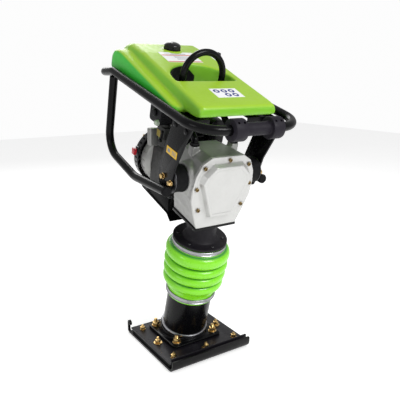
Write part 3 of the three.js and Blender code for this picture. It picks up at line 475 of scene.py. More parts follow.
def rounded(points, radius, steps=10):
    """Rounds the inner corners of an open route; radius is given for each corner."""
    points = [Vector(p) for p in points]
    route = [points[0]]
    for i in range(1, len(points) - 1):
        corner = points[i]
        before = (points[i - 1] - corner).normalized()
        after = (points[i + 1] - corner).normalized()
        r = radius[i]
        if not r:
            route.append(corner)
            continue
        half = before.angle(after) / 2
        reach = r / math.tan(half)
        middle = corner + (before + after).normalized() * (r / math.sin(half))
        start = corner + before * reach - middle
        end = corner + after * reach - middle
        sweep = start.angle(end)
        for k in range(steps + 1):
            a = math.sin((steps - k) * sweep / steps) / math.sin(sweep)
            b = math.sin(k * sweep / steps) / math.sin(sweep)
            route.append(middle + start * a + end * b)
    route.append(points[-1])
    return route


def tube(bm, route, radius, closed=False):
    """A round bar along a route, made from a bevelled curve."""
    curve = bpy.data.curves.new("route", "CURVE")
    curve.dimensions = "3D"
    curve.bevel_depth = radius
    curve.bevel_resolution = 5
    curve.use_fill_caps = True
    spline = curve.splines.new("POLY")
    spline.points.add(len(route) - 1)
    for point, place in zip(spline.points, route):
        point.co = (*place, 1)
    spline.use_cyclic_u = closed
    holder = bpy.data.objects.new("route", curve)
    mesh = bpy.data.meshes.new_from_object(holder)
    old = set(bm.verts)
    bm.from_mesh(mesh)
    bpy.data.objects.remove(holder)
    bpy.data.curves.remove(curve)
    bpy.data.meshes.remove(mesh)
    new = [v for v in bm.verts if v not in old]
    bmesh.ops.remove_doubles(bm, verts=new, dist=0.001)


def loft(bm, loops):
    """A closed skin through loops with the same number of points."""
    rings = []
    for loop in loops:
        points = [bm.verts.new(p) for p in loop]
        rings.append([bm.edges.new(pair) for pair in zip(points, points[1:] + points[:1])])
    for one, two in zip(rings, rings[1:]):
        bmesh.ops.bridge_loops(bm, edges=one + two)
    bmesh.ops.contextual_create(bm, geom=rings[0])
    bmesh.ops.contextual_create(bm, geom=rings[-1])


def mesh_of(bm, name):
    bmesh.ops.recalc_face_normals(bm, faces=bm.faces)
    mesh = bpy.data.meshes.new(name)
    bm.to_mesh(mesh)
    bm.free()
    return mesh


def evaluated(mesh, *modifiers):
    """The mesh after a row of modifiers, each given as kind and settings."""
    holder = bpy.data.objects.new("holder", mesh)
    bpy.context.scene.collection.objects.link(holder)
    for kind, settings in modifiers:
        modifier = holder.modifiers.new(kind.lower(), kind)
        for key, value in settings.items():
            setattr(modifier, key, value)
    bpy.context.view_layer.update()
    graph = bpy.context.evaluated_depsgraph_get()
    result = bpy.data.meshes.new_from_object(holder.evaluated_get(graph))
    bpy.data.objects.remove(holder)
    return result


def without(mesh, cutter):
    """The mesh less a cutter, both in metres."""
    tool = bpy.data.objects.new("cutter", cutter)
    bpy.context.scene.collection.objects.link(tool)
    result = evaluated(mesh, ("BOOLEAN", {"object": tool, "operation": "DIFFERENCE", "solver": "EXACT"}))
    bpy.data.objects.remove(tool)
    return result


def moulded(mesh, voxel, passes):
    """One rounded skin over all the closed bodies in a mesh, as a mould or a casting leaves it."""
    return evaluated(
        mesh,
        ("REMESH", {"mode": "VOXEL", "voxel_size": voxel, "use_smooth_shade": True}),
        ("SMOOTH", {"factor": 0.5, "iterations": passes}),
    )


def show(name, mesh, look, body, nodes=(), angle=35):
    """Makes a finished mesh, in metres, a piece that rides on a body."""
    material, slot = LOOKS[look]
    mesh.name = name
    mesh.materials.clear()
    mesh.materials.append(material)
    if angle:
        mesh.shade_smooth()
        mesh.set_sharp_from_angle(angle=math.radians(angle))
    piece = bpy.data.objects.new(name, mesh)
    bpy.context.scene.collection.objects.link(piece)
    if body:
        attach(piece, body)
    if nodes:
        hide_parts(*nodes)
    return piece


def build(name, bm, look, body, nodes=(), place=LEG, angle=35):
    """Ends a bmesh drawn in millimetres and shows it."""
    bmesh.ops.transform(bm, matrix=place, verts=bm.verts)
    return show(name, mesh_of(bm, name), look, body, nodes, angle)


def merged_copy(node):
    """A CAD node's mesh with its corners joined and its flat faces made whole, in metres."""
    bm = bmesh.new()
    bm.from_mesh(frame["nodes"][node].data)
    bmesh.ops.remove_doubles(bm, verts=bm.verts, dist=1e-5)
    bmesh.ops.dissolve_limit(bm, angle_limit=math.radians(0.8), verts=bm.verts, edges=bm.edges)
    return bm


def refine(node, look, width=0.8, name=None, segments=2, angle=32, sharp=28):
    """Stands a softened copy in for a CAD node: its edges get a small worn radius."""
    bm = merged_copy(node)
    soften(bm, width * MM, segments, sharp)
    return show(name or node + "_skin", mesh_of(bm, node), look, BODY_OF[node], (node,), angle)


def paint(node, look):
    """Gives a CAD node that stays its finish."""
    material = LOOKS[look][0]
    for slot in frame["nodes"][node].material_slots:
        slot.material = material


def hexagon(radius, turn=0.0):
    corners = [turn + math.pi * i / 3 for i in range(6)]
    return [(radius * math.cos(a), radius * math.sin(a)) for a in corners]


def hex_head(bm, radius, height, place, turn=0.0):
    """A nut or a bolt head with its corners turned off."""
    part = bmesh.new()
    slab(part, hexagon(radius, turn), height)
    top = [e for e in part.edges if all(abs(v.co.z - height) < 0.001 for v in e.verts)]
    bmesh.ops.bevel(
        part, geom=top, offset=radius * 0.11, offset_type="OFFSET", segments=2, profile=0.5,
        affect="EDGES", clamp_overlap=True, material=-1,
    )
    bmesh.ops.transform(part, matrix=place, verts=part.verts)
    add_part(bm, part)


def add_part(bm, part):
    """Adds a finished small bmesh to a bigger one."""
    mesh = bpy.data.meshes.new("part")
    part.to_mesh(mesh)
    part.free()
    bm.from_mesh(mesh)
    bpy.data.meshes.remove(mesh)


def washer(bm, radius, thickness, place, bore=0.0):
    edge = thickness * 0.25
    profile = [
        (bore, 0), (radius - edge, 0), (radius, edge), (radius, thickness - edge),
        (radius - edge, thickness), (bore, thickness)
    ]
    if bore:
        spun(bm, profile, 32, place)
    else:
        solid_spun(bm, profile, 32, place)


def thread(bm, radius, bottom, top, place, pitch=1.75):
    """A threaded end: rings of crests and roots, with a chamfered tip."""
    profile = [(0, bottom), (radius * 0.88, bottom)]
    z = bottom
    while z + pitch < top - 1:
        profile += [(radius, z + pitch / 2), (radius * 0.88, z + pitch)]
        z += pitch
    profile += [(radius * 0.8, top), (0, top)]
    solid_spun(bm, profile, 24, place)


def fastener(bm, place, washer_radius, nut_radius, nut_height, turn, tail=0.0, stem=4.0):
    """A washer, a spring ring and a nut, with the bolt's end above them."""
    washer(bm, washer_radius, 2.2, place)
    ring = place @ Matrix.Translation((0, 0, 2.2))
    washer(bm, nut_radius * 0.86, 2.0, ring)
    head = place @ Matrix.Translation((0, 0, 4.2))
    hex_head(bm, nut_radius, nut_height, head, turn)
    if tail:
        thread(bm, stem, nut_height - 1, nut_height + tail, head)


def socket_screw(bm, place, radius=5.0, height=5.0):
    """A round screw head with a round socket."""
    profile = [
        (0, height - 2.6), (radius * 0.5, height - 2.6), (radius * 0.5, height), (radius * 0.86, height),
        (radius, height - 0.7), (radius, 0), (0, 0),
    ]
    solid_spun(bm, profile, 24, place)


# ---------------------------------------------------------------- operators
class RammerStep:
    """What every building step shares."""

    bl_options = {"REGISTER", "UNDO"}

    def execute(self, context):
        self.make()
        return {"FINISHED"}


class RAMMER_OT_stage(RammerStep, bpy.types.Operator):
    """Camera, soft studio light and a pale plain floor"""

    bl_idname = "rammer.stage"
    bl_label = "Stage"

    def make(self):
        camera = bpy.data.objects.new("camera", bpy.data.cameras.new("camera"))
        look_down, turn_right = 0.242, 0.576
        camera.location = (-0.791, -1.295, 0.854)
        camera.rotation_euler = (math.pi / 2 - look_down, 0, -turn_right)
        camera.data.lens = 45.2
        camera.data.sensor_width = 36
        bpy.context.scene.collection.objects.link(camera)
        bpy.context.scene.camera = camera
        world = bpy.data.worlds.new("studio")
        world.use_nodes = True
        tree = world.node_tree
        # A white sweep behind the object, and a dimmer tent round it that lights it.
        ray = add_node(tree, "ShaderNodeLightPath").outputs["Is Camera Ray"]
        strength = add_node(tree, "ShaderNodeMapRange", i0=ray, i1=0.0, i2=1.0, i3=0.5, i4=0.98)
        tree.links.new(strength.outputs["Result"], tree.nodes["Background"].inputs["Strength"])
        tree.nodes["Background"].inputs["Color"].default_value = linear("#ffffff")
        bpy.context.scene.world = world
        bpy.context.scene.view_settings.view_transform = "Standard"
        self.light("key_softbox", (0.7, -2.6, 2.3), 1.2, 62)
        self.light("side_softbox", (-2.4, -0.6, 1.6), 0.8, 7)
        self.light("back_softbox", (0.6, 2.4, 2.2), 1.6, 26)
        bm = bmesh.new()
        half = sizes().floor_half
        bmesh.ops.create_grid(bm, x_segments=8, y_segments=8, size=half)
        mesh = mesh_of(bm, "studio_floor")
        glow = {"Emission_Color": linear("#ffffff"), "Emission_Strength": 0.42}
        white = finish(
            "Studio paper", colours().floor, 0.8, mottle=(400, 0.01), grain=(3, 0.02, 0.02), **glow
        )
        mesh.materials.append(white)
        floor = bpy.data.objects.new("studio_floor", mesh)
        bpy.context.scene.collection.objects.link(floor)

    @staticmethod
    def light(name, place, size, power):
        data = bpy.data.lights.new(name, "AREA")
        data.size = size
        data.energy = power
        lamp = bpy.data.objects.new(name, data)
        lamp.location = place
        aim = Vector((0, 0, 0.45)) - Vector(place)
        lamp.rotation_euler = aim.to_track_quat("-Z", "Y").to_euler()
        bpy.context.scene.collection.objects.link(lamp)


class RAMMER_OT_shoe(RammerStep, bpy.types.Operator):
    """Shoe plates, foot casting and their fasteners"""

    bl_idname = "rammer.shoe"
    bl_label = "Shoe"

    def make(self):
        edge = sizes().plate_edge / MM
        refine("shoe_sole", "shoe_enamel", edge * 1.6, segments=3)
        refine("shoe_core", "rubber", edge, segments=2)
        refine("shoe_top_plate", "plate_enamel", edge * 1.2, segments=3)
        foot = moulded(mesh_of(merged_copy("foot_casting"), "foot"), sizes().cast_voxel * 0.9, 5)
        show("foot_casting_skin", foot, "enamel", "foot", ("foot_casting",), 0)
        self.studs()
        self.bolts()
        self.bosses()

    def studs(self):
        nodes = (
            "foot_stud_front_left", "foot_stud_front_right", "foot_stud_rear_left", "foot_stud_rear_right"
        )
        draw = random.Random(4)
        for node, (x, y) in zip(nodes, STUD_PLACES):
            bm = bmesh.new()
            place = Matrix.Translation((x, y, CASTING_TOP + GAP))
            washer(bm, 14, 2.5, place)
            washer(bm, 10, 2.2, place @ Matrix.Translation((0, 0, 2.5)))
            hex_head(bm, 11.5, 10, place @ Matrix.Translation((0, 0, 4.7)), draw.uniform(0, 1))
            thread(bm, 6, 12, 58 - CASTING_TOP - GAP, place)
            solid_spun(
                bm, [(0, 7.8), (5.9, 7.8), (5.9, CASTING_TOP + 1), (0, CASTING_TOP + 1)], 24,
                Matrix.Translation((x, y, 0))
            )
            build(node + "_nut", bm, "zinc", "foot", (node,), GROUND)

    def bolts(self):
        draw = random.Random(7)
        bm = bmesh.new()
        for x, y in CORNER_BOLTS:
            fastener(bm, Matrix.Translation((x, y, SHOE_TOP)), 9.5, 9, 7, draw.uniform(0, 1), 5, 4.5)
        for x, y in WASHER_BOLTS:
            fastener(bm, Matrix.Translation((x, y, SHOE_TOP)), 14, 9, 8, draw.uniform(0, 1), 8, 4.5)
        build("shoe_bolts", bm, "zinc", "foot", (), GROUND)

    def bosses(self):
        """The raised pads that the stud nuts sit on."""
        bm = bmesh.new()
        for x, y in STUD_PLACES:
            profile = [
                (19, SHOE_TOP + GAP), (17, CASTING_TOP - 1), (16, CASTING_TOP), (6.8, CASTING_TOP),
                (6.8, SHOE_TOP + GAP)
            ]
            spun(bm, profile, 40, Matrix.Translation((x, y, 0)))
        build("foot_bosses", bm, "enamel", "foot", (), GROUND)


class RAMMER_OT_leg(RammerStep, bpy.types.Operator):
    """Leg tube, bellows, clamps and guide cylinder"""

    bl_idname = "rammer.leg"
    bl_label = "Leg and bellows"

    def make(self):
        bm = bmesh.new()
        spun(
            bm,
            [(LEG_BORE, LEG_BOTTOM), (LEG_RADIUS - 1, LEG_BOTTOM), (LEG_RADIUS, LEG_BOTTOM + 1),
             (LEG_RADIUS, LEG_TOP - 2), (LEG_RADIUS - 2, LEG_TOP), (LEG_BORE, LEG_TOP)],
            128,
        )
        build("leg_tube_skin", bm, "enamel", "foot", ("leg_tube",))
        bm = bmesh.new()
        ring = [
            (LEG_RADIUS + GAP, 58.3), (75.4, 58.3), (76, 59.5), (76, 63.5), (74.8, 66.6), (72.6, 68),
            (LEG_RADIUS + GAP, 68)
        ]
        spun(bm, ring, 128)
        build("foot_ring_skin", bm, "steel", "foot", ("foot_ring",))
        self.bellows()
        self.clamp("lower_clamp", "foot", CUFF_RADIUS + GAP, 199, 214)
        self.clamp("upper_clamp", "machine", 80 + GAP, 380, 393)
        self.guide()
        for node in (
            "spring_cap", "lower_spring", "upper_spring", "ram_rod", "ram_piston", "wrist_pin",
            "connecting_rod"
        ):
            paint(node, "dark_steel")

    def bellows(self):
        outside = [(CUFF_RADIUS, 194), (CUFF_RADIUS + 0.6, 195.5), (CUFF_RADIUS, 197), (CUFF_RADIUS, 217)]
        outside += [(CUFF_RADIUS + 0.8, 221), (CUFF_RADIUS + 3, 226), (GROOVE_RADIUS, 232)]
        steps = 14
        for height, radius, half in RIDGES:
            for k in range(1, steps):
                angle = math.pi * (k / steps - 0.5)
                bulge = math.cos(angle) ** 0.95
                outside.append(
                    (GROOVE_RADIUS + (radius - GROOVE_RADIUS) * bulge, height + half * math.sin(angle))
                )
        outside += [(80.6, 377.5), (80, 379), (80, 391), (79, 393)]
        inside = [(75, 393), (75, 376), (75.5, 370), (75.5, 232), (71.5, 222), (71.5, 194)]
        bm = bmesh.new()
        spun(bm, outside + inside, 128)
        bmesh.ops.transform(bm, matrix=LEG, verts=bm.verts)
        mesh = mesh_of(bm, "bellows")
        groove_shade = mesh.attributes.new("groove_shade", "FLOAT", "POINT")
        back = LEG.inverted()
        # Painted shade: the deeper a spot lies in the folds, the more of the dark groove colour it gets.
        for vertex, value in zip(mesh.vertices, groove_shade.data):
            spot = back @ vertex.co
            depth = math.hypot(spot.x, spot.y) - GROOVE_RADIUS
            in_folds = 232 < spot.z < 377
            value.value = max(0.0, min(1.0, 1 - (depth - 6) / 5)) if in_folds else 0.0
        piece = show("bellows_skin", mesh, "bellows", None, ("bellows",), 50)
        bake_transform(piece)

    @staticmethod
    def clamp(node, body, inner, bottom, top):
        """A worm-drive band: two rolled beads, a screw housing and its screw."""
        bm = bmesh.new()
        band = [
            (inner, bottom), (inner + 2.2, bottom), (inner + 3, bottom + 0.8), (inner + 3, bottom + 2),
            (inner + 1.6, bottom + 3.2),
            (inner + 1.6, top - 3.2), (inner + 3, top - 2), (inner + 3, top - 0.8), (inner + 2.2, top),
            (inner, top),
        ]
        spun(bm, band, 128)
        block(bm, (-10, inner + 1, bottom + 1.5), (8, inner + 9, top - 1.5))
        middle = (bottom + top) / 2
        solid_spun(bm, [(0, -13), (3.6, -13), (4, -12), (4, 9), (0, 9)], 24, along("x", 0, inner + 7, middle))
        hex_head(bm, 4.6, 4, along("-x", -13, inner + 7, middle))
        build(node + "_band", bm, "steel", body, (node,))

    @staticmethod
    def guide():
        profile = [
            (57, 250), (61.5, 250), (62.5, 251), (62.5, 374), (74, 378), (74, 396), (82, 396), (83, 397),
            (83, 401), (82, 402),
            (56, 402), (53, 403.5), (50, 407), (47.5, 412), (45, 416), (45, 458), (46, 463), (49, 466.5),
            (53, 468), (53, 475.7),
            (38, 475.7), (38, 386), (57, 366),
        ]
        bm = bmesh.new()
        spun(bm, profile, 128)
        build("guide_cylinder_skin", bm, "guide", "machine", ("guide_cylinder",))
        bm = bmesh.new()
        for i in range(6):
            spot = Matrix.Rotation(math.pi * (i + 0.5) / 3, 4, "Z") @ Vector((68, 0, 402))
            socket_screw(bm, Matrix.Translation(spot), 4.2, 3.4)
        build("guide_flange_screws", bm, "dark_steel", "machine")


class RAMMER_OT_gearbox(RammerStep, bpy.types.Operator):
    """Crankcase, its cover and screws, mounts and lifting bail"""

    bl_idname = "rammer.gearbox"
    bl_label = "Crankcase and cover"

    cover_screws = ((-72, 663), (72, 663), (5, 681), (-88, 603), (88, 603), (-73, 537), (73, 537))

    def make(self):
        shell = moulded(mesh_of(merged_copy("crankcase"), "case"), sizes().cast_voxel, 3)
        show("crankcase_skin", shell, "casting", "machine", ("crankcase",), 0)
        self.cover()
        bm = bmesh.new()
        for x, z in self.cover_screws:
            solid_spun(
                bm, [(0, 0), (8.6, 0), (9.6, -0.8), (9.6, -1.4), (0, -1.4)], 36,
                along("-y", x, COVER_FACE, z)
            )
        build("cover_spot_faces", bm, "casting", "machine")
        bm = bmesh.new()
        for x, z in self.cover_screws:
            socket_screw(bm, along("-y", x, COVER_FACE - 0.2, z), 5.2, 5)
        # The cover screws carry painted recess shade.
        build("cover_screws", bm, "recess_shade_zinc", "machine")
        bm = bmesh.new()
        block(bm, (-70, CASE_FRONT - 7, CASE_BOTTOM - 9), (70, 66, CASE_BOTTOM - 0.6))
        soften(bm, 1.2, 2)
        build("case_base_plate", bm, "enamel", "machine")
        bm = bmesh.new()
        for x in (-60, 60):
            for y in (-46, 52):
                hex_head(bm, 7, 5, along("z", x, y, CASE_BOTTOM - 9) @ Matrix.Rotation(math.pi, 4, "X"))
        build("case_base_screws", bm, "dark_steel", "machine")
        refine("drain_plug", "dark_steel", 0.8)
        for side, node in ((-1, "shock_mount_left"), (1, "shock_mount_right")):
            self.mount(side, node)
        self.bail()
        for node in ("crank_gear", "crank_bearing", "clutch_drum", "drum_bearing", "crankshaft"):
            paint(node, "steel")

    @staticmethod
    def cover():
        """The cast cover, whose raised panel has a lip round a shallow tray."""
        tray = [(37, 660), (62, 637), (68, 620), (32, 525), (-32, 525), (-68, 620), (-62, 637), (-37, 660)]
        cutter = bmesh.new()
        slab(
            cutter, [(x, -z) for x, z in tray], 4,
            Matrix.Translation((0, -82.2, 0)) @ Matrix.Rotation(-math.pi / 2, 4, "X")
        )
        bmesh.ops.recalc_face_normals(cutter, faces=cutter.faces)
        bmesh.ops.transform(cutter, matrix=LEG, verts=cutter.verts)
        solid = without(mesh_of(merged_copy("gear_cover"), "cover"), mesh_of(cutter, "tray"))
        show("gear_cover_skin", moulded(solid, 0.0016, 3), "cover", "machine", ("gear_cover",), 0)

    @staticmethod
    def mount(side, node):
        """A rubber block between two steel discs."""
        axis = "x" if side > 0 else "-x"
        bm = bmesh.new()
        profile = [
            (0, 107), (37.5, 107), (39, 108.5), (38.6, 112), (37.4, 117), (37, 123), (37.4, 130),
            (38.6, 136), (39, 139.5), (37.5, 141), (0, 141),
        ]
        solid_spun(bm, profile, 96, along(axis, 0, SWAY_Y, SWAY_Z))
        build(node + "_rubber", bm, "rubber", "machine", (node,))
        bm = bmesh.new()
        for start in (104.4, 141):
            solid_spun(
                bm, [
                    (0, start), (38, start), (38.6, start + 0.5), (38.6, start + 1.2), (38, start + 1.6),
                    (0, start + 1.6)
                ],
                96, along(axis, 0, SWAY_Y, SWAY_Z),
            )
        build(node + "_discs", bm, "dark_steel", "machine")

    @staticmethod
    def bail():
        half, back, rise = 65, 120, 856
        lower = rounded(
            [(half, 13, 697.3), (half, 13, 712), (half, back, 776), (half, back, rise)], (0, 20, 36, 0)
        )
        arch = [
            (half * math.cos(a), back, rise + half * math.sin(a))
            for a in (math.pi * i / 32 for i in range(1, 32))
        ]
        other = [(-x, y, z) for x, y, z in reversed(lower)]
        bm = bmesh.new()
        tube(bm, [*lower, *arch, *other], 9.5)
        build("lifting_bail_bar", bm, "enamel", "machine", ("lifting_bail",), angle=50)
        bm = bmesh.new()
        for side in (-1, 1):
            washer(bm, 14, 2.4, Matrix.Translation((65 * side, 13, 697.4)), 9.6)
            hex_head(bm, 13.5, 7, Matrix.Translation((65 * side, 13, 699.6)), 0.3 * side)
        build("bail_nuts", bm, "enamel", "machine")


class RAMMER_OT_engine(RammerStep, bpy.types.Operator):
    """Engine, its starter, fuel and exhaust pieces"""

    bl_idname = "rammer.engine"
    bl_label = "Engine"

    def make(self):
        voxel = sizes().cast_voxel
        block_mesh = moulded(mesh_of(merged_copy("engine_block"), "block"), voxel, 4)
        show("engine_block_skin", block_mesh, "dull_casting", "machine", ("engine_block",), 0)
        bm = bmesh.new()
        spun(
            bm,
            [
                (48, 66.3), (61, 66.3), (62, 67.3), (62, 71), (60, 73), (54, 75), (54, 103), (60, 105),
                (62, 107), (62, 112), (48, 112)
            ],
            96, ENGINE_AXIS
        )
        build("clutch_housing_skin", bm, "dull_casting", "machine", ("clutch_housing",))
        refine("engine_cylinder", "black_casting", 0.9)
        refine("cylinder_head", "black_casting", 0.9)
        self.head_bolts()
        self.spark_plug()
        self.fan()
        self.recoil()
        self.fuel_side()
        self.muffler()
        refine("skid_plate", "enamel", 0.9)
        paint("flywheel", "dark_steel")
        paint("recoil_pulley", "nylon")

    @staticmethod
    def head_bolts():
        bm = bmesh.new()
        for x in (-30, 30):
            for y in (142, 202):
                place = Matrix.Translation((x, y, 738))
                washer(bm, 7, 1.4, place)
                hex_head(bm, 6, 5, place @ Matrix.Translation((0, 0, 1.4)), 0.4)
        build("head_bolts", bm, "zinc", "machine")
        bm = bmesh.new()
        for x, z in ((-56, 484), (56, 484), (-56, 608), (56, 608)):
            hex_head(bm, 6.5, 5, along("-y", x, 112.3, z), 0.2)
        build("block_bolts", bm, "dark_steel", "machine")

    @staticmethod
    def spark_plug():
        seat = 125.7
        bm = bmesh.new()
        profile = [(0, seat - 44), (3.4, seat - 44), (3.4, seat - 38), (4.6, seat - 37)]
        for k in range(5):
            at = seat - 36 + k * 4
            profile += [(4.6, at), (5.2, at + 1), (5.2, at + 2), (4.6, at + 3)]
        profile += [(6, seat - 14), (0, seat - 14)]
        solid_spun(bm, profile, 36, along("y", 0, 0, 722))
        build("plug_insulator", bm, "ceramic", "machine", ("spark_plug",))
        bm = bmesh.new()
        solid_spun(
            bm, [(0, seat - 14), (9, seat - 14), (10, seat - 12.5), (10, seat), (0, seat)], 36,
            along("y", 0, 0, 722)
        )
        build("plug_shell", bm, "steel", "machine")
        bm = bmesh.new()
        spun(
            bm,
            [
                (5.6, seat - 43), (9, seat - 43), (9.6, seat - 41), (8.8, seat - 22), (8, seat - 20),
                (5.6, seat - 20)
            ],
            36, along("y", 0, 0, 722)
        )
        solid_spun(
            bm, [(0, 0), (5.6, 0), (6.4, 3), (6.4, 14), (5, 18), (0, 18)], 28, along("x", 4, seat - 38, 722)
        )
        build("plug_boot", bm, "rubber", "machine")

    @staticmethod
    def fan():
        bm = bmesh.new()
        front, rear = 232.3, 272
        profile = [
            (40, front), (68, front), (71, front + 0.8), (82, front + 11), (83, front + 13), (83, rear - 1),
            (82, rear), (79, rear),
            (78, rear - 1), (78, front + 15), (68, front + 5), (40, front + 5),
        ]
        spun(bm, profile, 96, ENGINE_AXIS)
        build("fan_housing_skin", bm, "casting", "machine", ("fan_housing",))
        bm = bmesh.new()
        for i in range(20):
            turn = Matrix.Rotation(2 * math.pi * i / 20, 4, "Z")
            block(bm, (79, -2, front + 14), (84.6, 2, rear - 2), ENGINE_AXIS @ turn)
        soften(bm, 0.8, 2)
        build("fan_housing_ribs", bm, "casting", "machine")

    @staticmethod
    def recoil():
        rope_x, rope_z = 52, ENGINE_Z + 36
        bm = bmesh.new()
        profile = [
            (0, 330), (50, 330), (53, 329.4), (66, 324), (92, 301), (94.4, 298), (95, 294), (95, 273.5),
            (94, 272.3), (91, 272.3),
            (91, 292), (64, 320), (52, 326), (7, 326), (7, 280), (0, 280),
        ]
        solid_spun(bm, profile, 96, ENGINE_AXIS)
        bmesh.ops.transform(bm, matrix=LEG, verts=bm.verts)
        shell = mesh_of(bm, "recoil")
        cutters = bmesh.new()
        for i in range(28):
            turn = Matrix.Rotation(2 * math.pi * (i + 0.5) / 28, 4, "Z")
            block(cutters, (70, -2.2, 296), (87, 2.2, 326), ENGINE_AXIS @ turn)
        for i in range(36):
            turn = Matrix.Rotation(2 * math.pi * i / 36, 4, "Z")
            block(cutters, (90, -2.4, 277), (99, 2.4, 289), ENGINE_AXIS @ turn)
        solid_spun(cutters, [(0, 296), (3.2, 296), (3.2, 345), (0, 345)], 20, along("y", rope_x, 0, rope_z))
        bmesh.ops.transform(cutters, matrix=LEG, verts=cutters.verts)
        shell = without(shell, mesh_of(cutters, "slots"))
        show("recoil_cover_skin", shell, "gloss_nylon", "machine", ("recoil_cover",), 30)
        bm = bmesh.new()
        spun(
            bm, [(3.4, 322), (9, 322), (9, 332), (7.6, 334), (4.4, 334), (3.4, 332)], 36,
            along("y", rope_x, 0, rope_z)
        )
        build("rope_eyelet", bm, "steel", "machine")
        bm = bmesh.new()
        for i in range(4):
            angle = math.pi * (0.25 + i / 2)
            place = along("y", 88 * math.cos(angle), 302, ENGINE_Z + 88 * math.sin(angle))
            hex_head(bm, 5.2, 4, place, angle)
        build("recoil_screws", bm, "zinc", "machine")
        bm = bmesh.new()
        solid_spun(bm, [(0, 322), (2.2, 322), (2.2, 337.7), (0, 337.7)], 24, along("y", rope_x, 0, rope_z))
        bmesh.ops.subdivide_edges(bm, edges=[e for e in bm.edges if e.calc_length() > 10], cuts=8)
        rope = build("recoil_rope_braid", bm, "rubber", None, ("recoil_rope",))
        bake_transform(rope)
        refine("recoil_grip", "rubber", 1.6, segments=3)
        bm = bmesh.new()
        block(bm, (-96, 274, ENGINE_Z + 7), (-84, 292, ENGINE_Z + 35))
        soften(bm, 1.6, 3)
        build("switch_box", bm, "gloss_nylon", "machine")
        refine("stop_switch", "switch", 1.6, segments=3)

    @staticmethod
    def fuel_side():
        refine("air_filter", "nylon", 2.4, segments=3)
        bm = bmesh.new()
        for k in range(5):
            block(bm, (-98, 149, 708 + k * 8.5), (-60, 217.2, 711 + k * 8.5))
        soften(bm, 0.8, 2)
        solid_spun(
            bm, [(0, 0), (10, 0), (11, 1.5), (11, 5), (8, 8), (0, 8.6)], 40, along("-x", -100.6, 183, 731)
        )
        build("filter_ribs", bm, "nylon", "machine")
        refine("carburettor", "dull_casting", 1.4)
        refine("choke_lever", "nylon", 0.7)
        bm = bmesh.new()
        solid_spun(
            bm, [(0, 0), (9, 0), (9, 3), (8.4, 7), (7, 10), (4, 12), (0, 12.6)], 48,
            along("-x", -100.8, 160, 708)
        )
        build("primer_bulb", bm, "clear", "machine")
        bm = bmesh.new()
        slab(bm, [(-98, 112), (-56, 112), (-56, 226), (-98, 226)], 3, Matrix.Translation((0, 0, 752.4)))
        soften(bm, 1, 2)
        build("filter_top_seam", bm, "nylon", "machine")
        bm = bmesh.new()
        place = Matrix.Translation((-78, 206, 636)) @ Matrix.Rotation(math.radians(-14), 4, "X")
        block(bm, (-16, -2, -20), (12, 22, 34), place)
        soften(bm, 4, 3)
        build("cooling_shroud", bm, "casting", "machine")
        bm = bmesh.new()
        spun(bm, [(40, 229.6), (64, 229.6), (66, 231), (66, 232.2), (40, 232.2)], 96, ENGINE_AXIS)
        for i in range(9):
            turn = Matrix.Rotation(2 * math.pi * i / 9, 4, "Z")
            block(bm, (42, -1.5, 226), (65, 1.5, 230), ENGINE_AXIS @ turn)
        build("fan_backing", bm, "black_casting", "machine")

    @staticmethod
    def muffler():
        refine("muffler", "enamel", 2.4, segments=3)
        bm = bmesh.new()
        for k in range(6):
            block(bm, (116.5, 140 + k * 12, 640), (119.6, 146 + k * 12, 704))
        soften(bm, 1, 2)
        build("muffler_guard", bm, "dark_steel", "machine")
        bm = bmesh.new()
        spun(
            bm,
            [(8, 128), (10.5, 128), (11, 129), (11, 133), (10.5, 134), (6.4, 134), (6.4, 122), (8, 122)],
            40, along("x", 0, 196, 656)
        )
        build("exhaust_tip", bm, "steel", "machine")


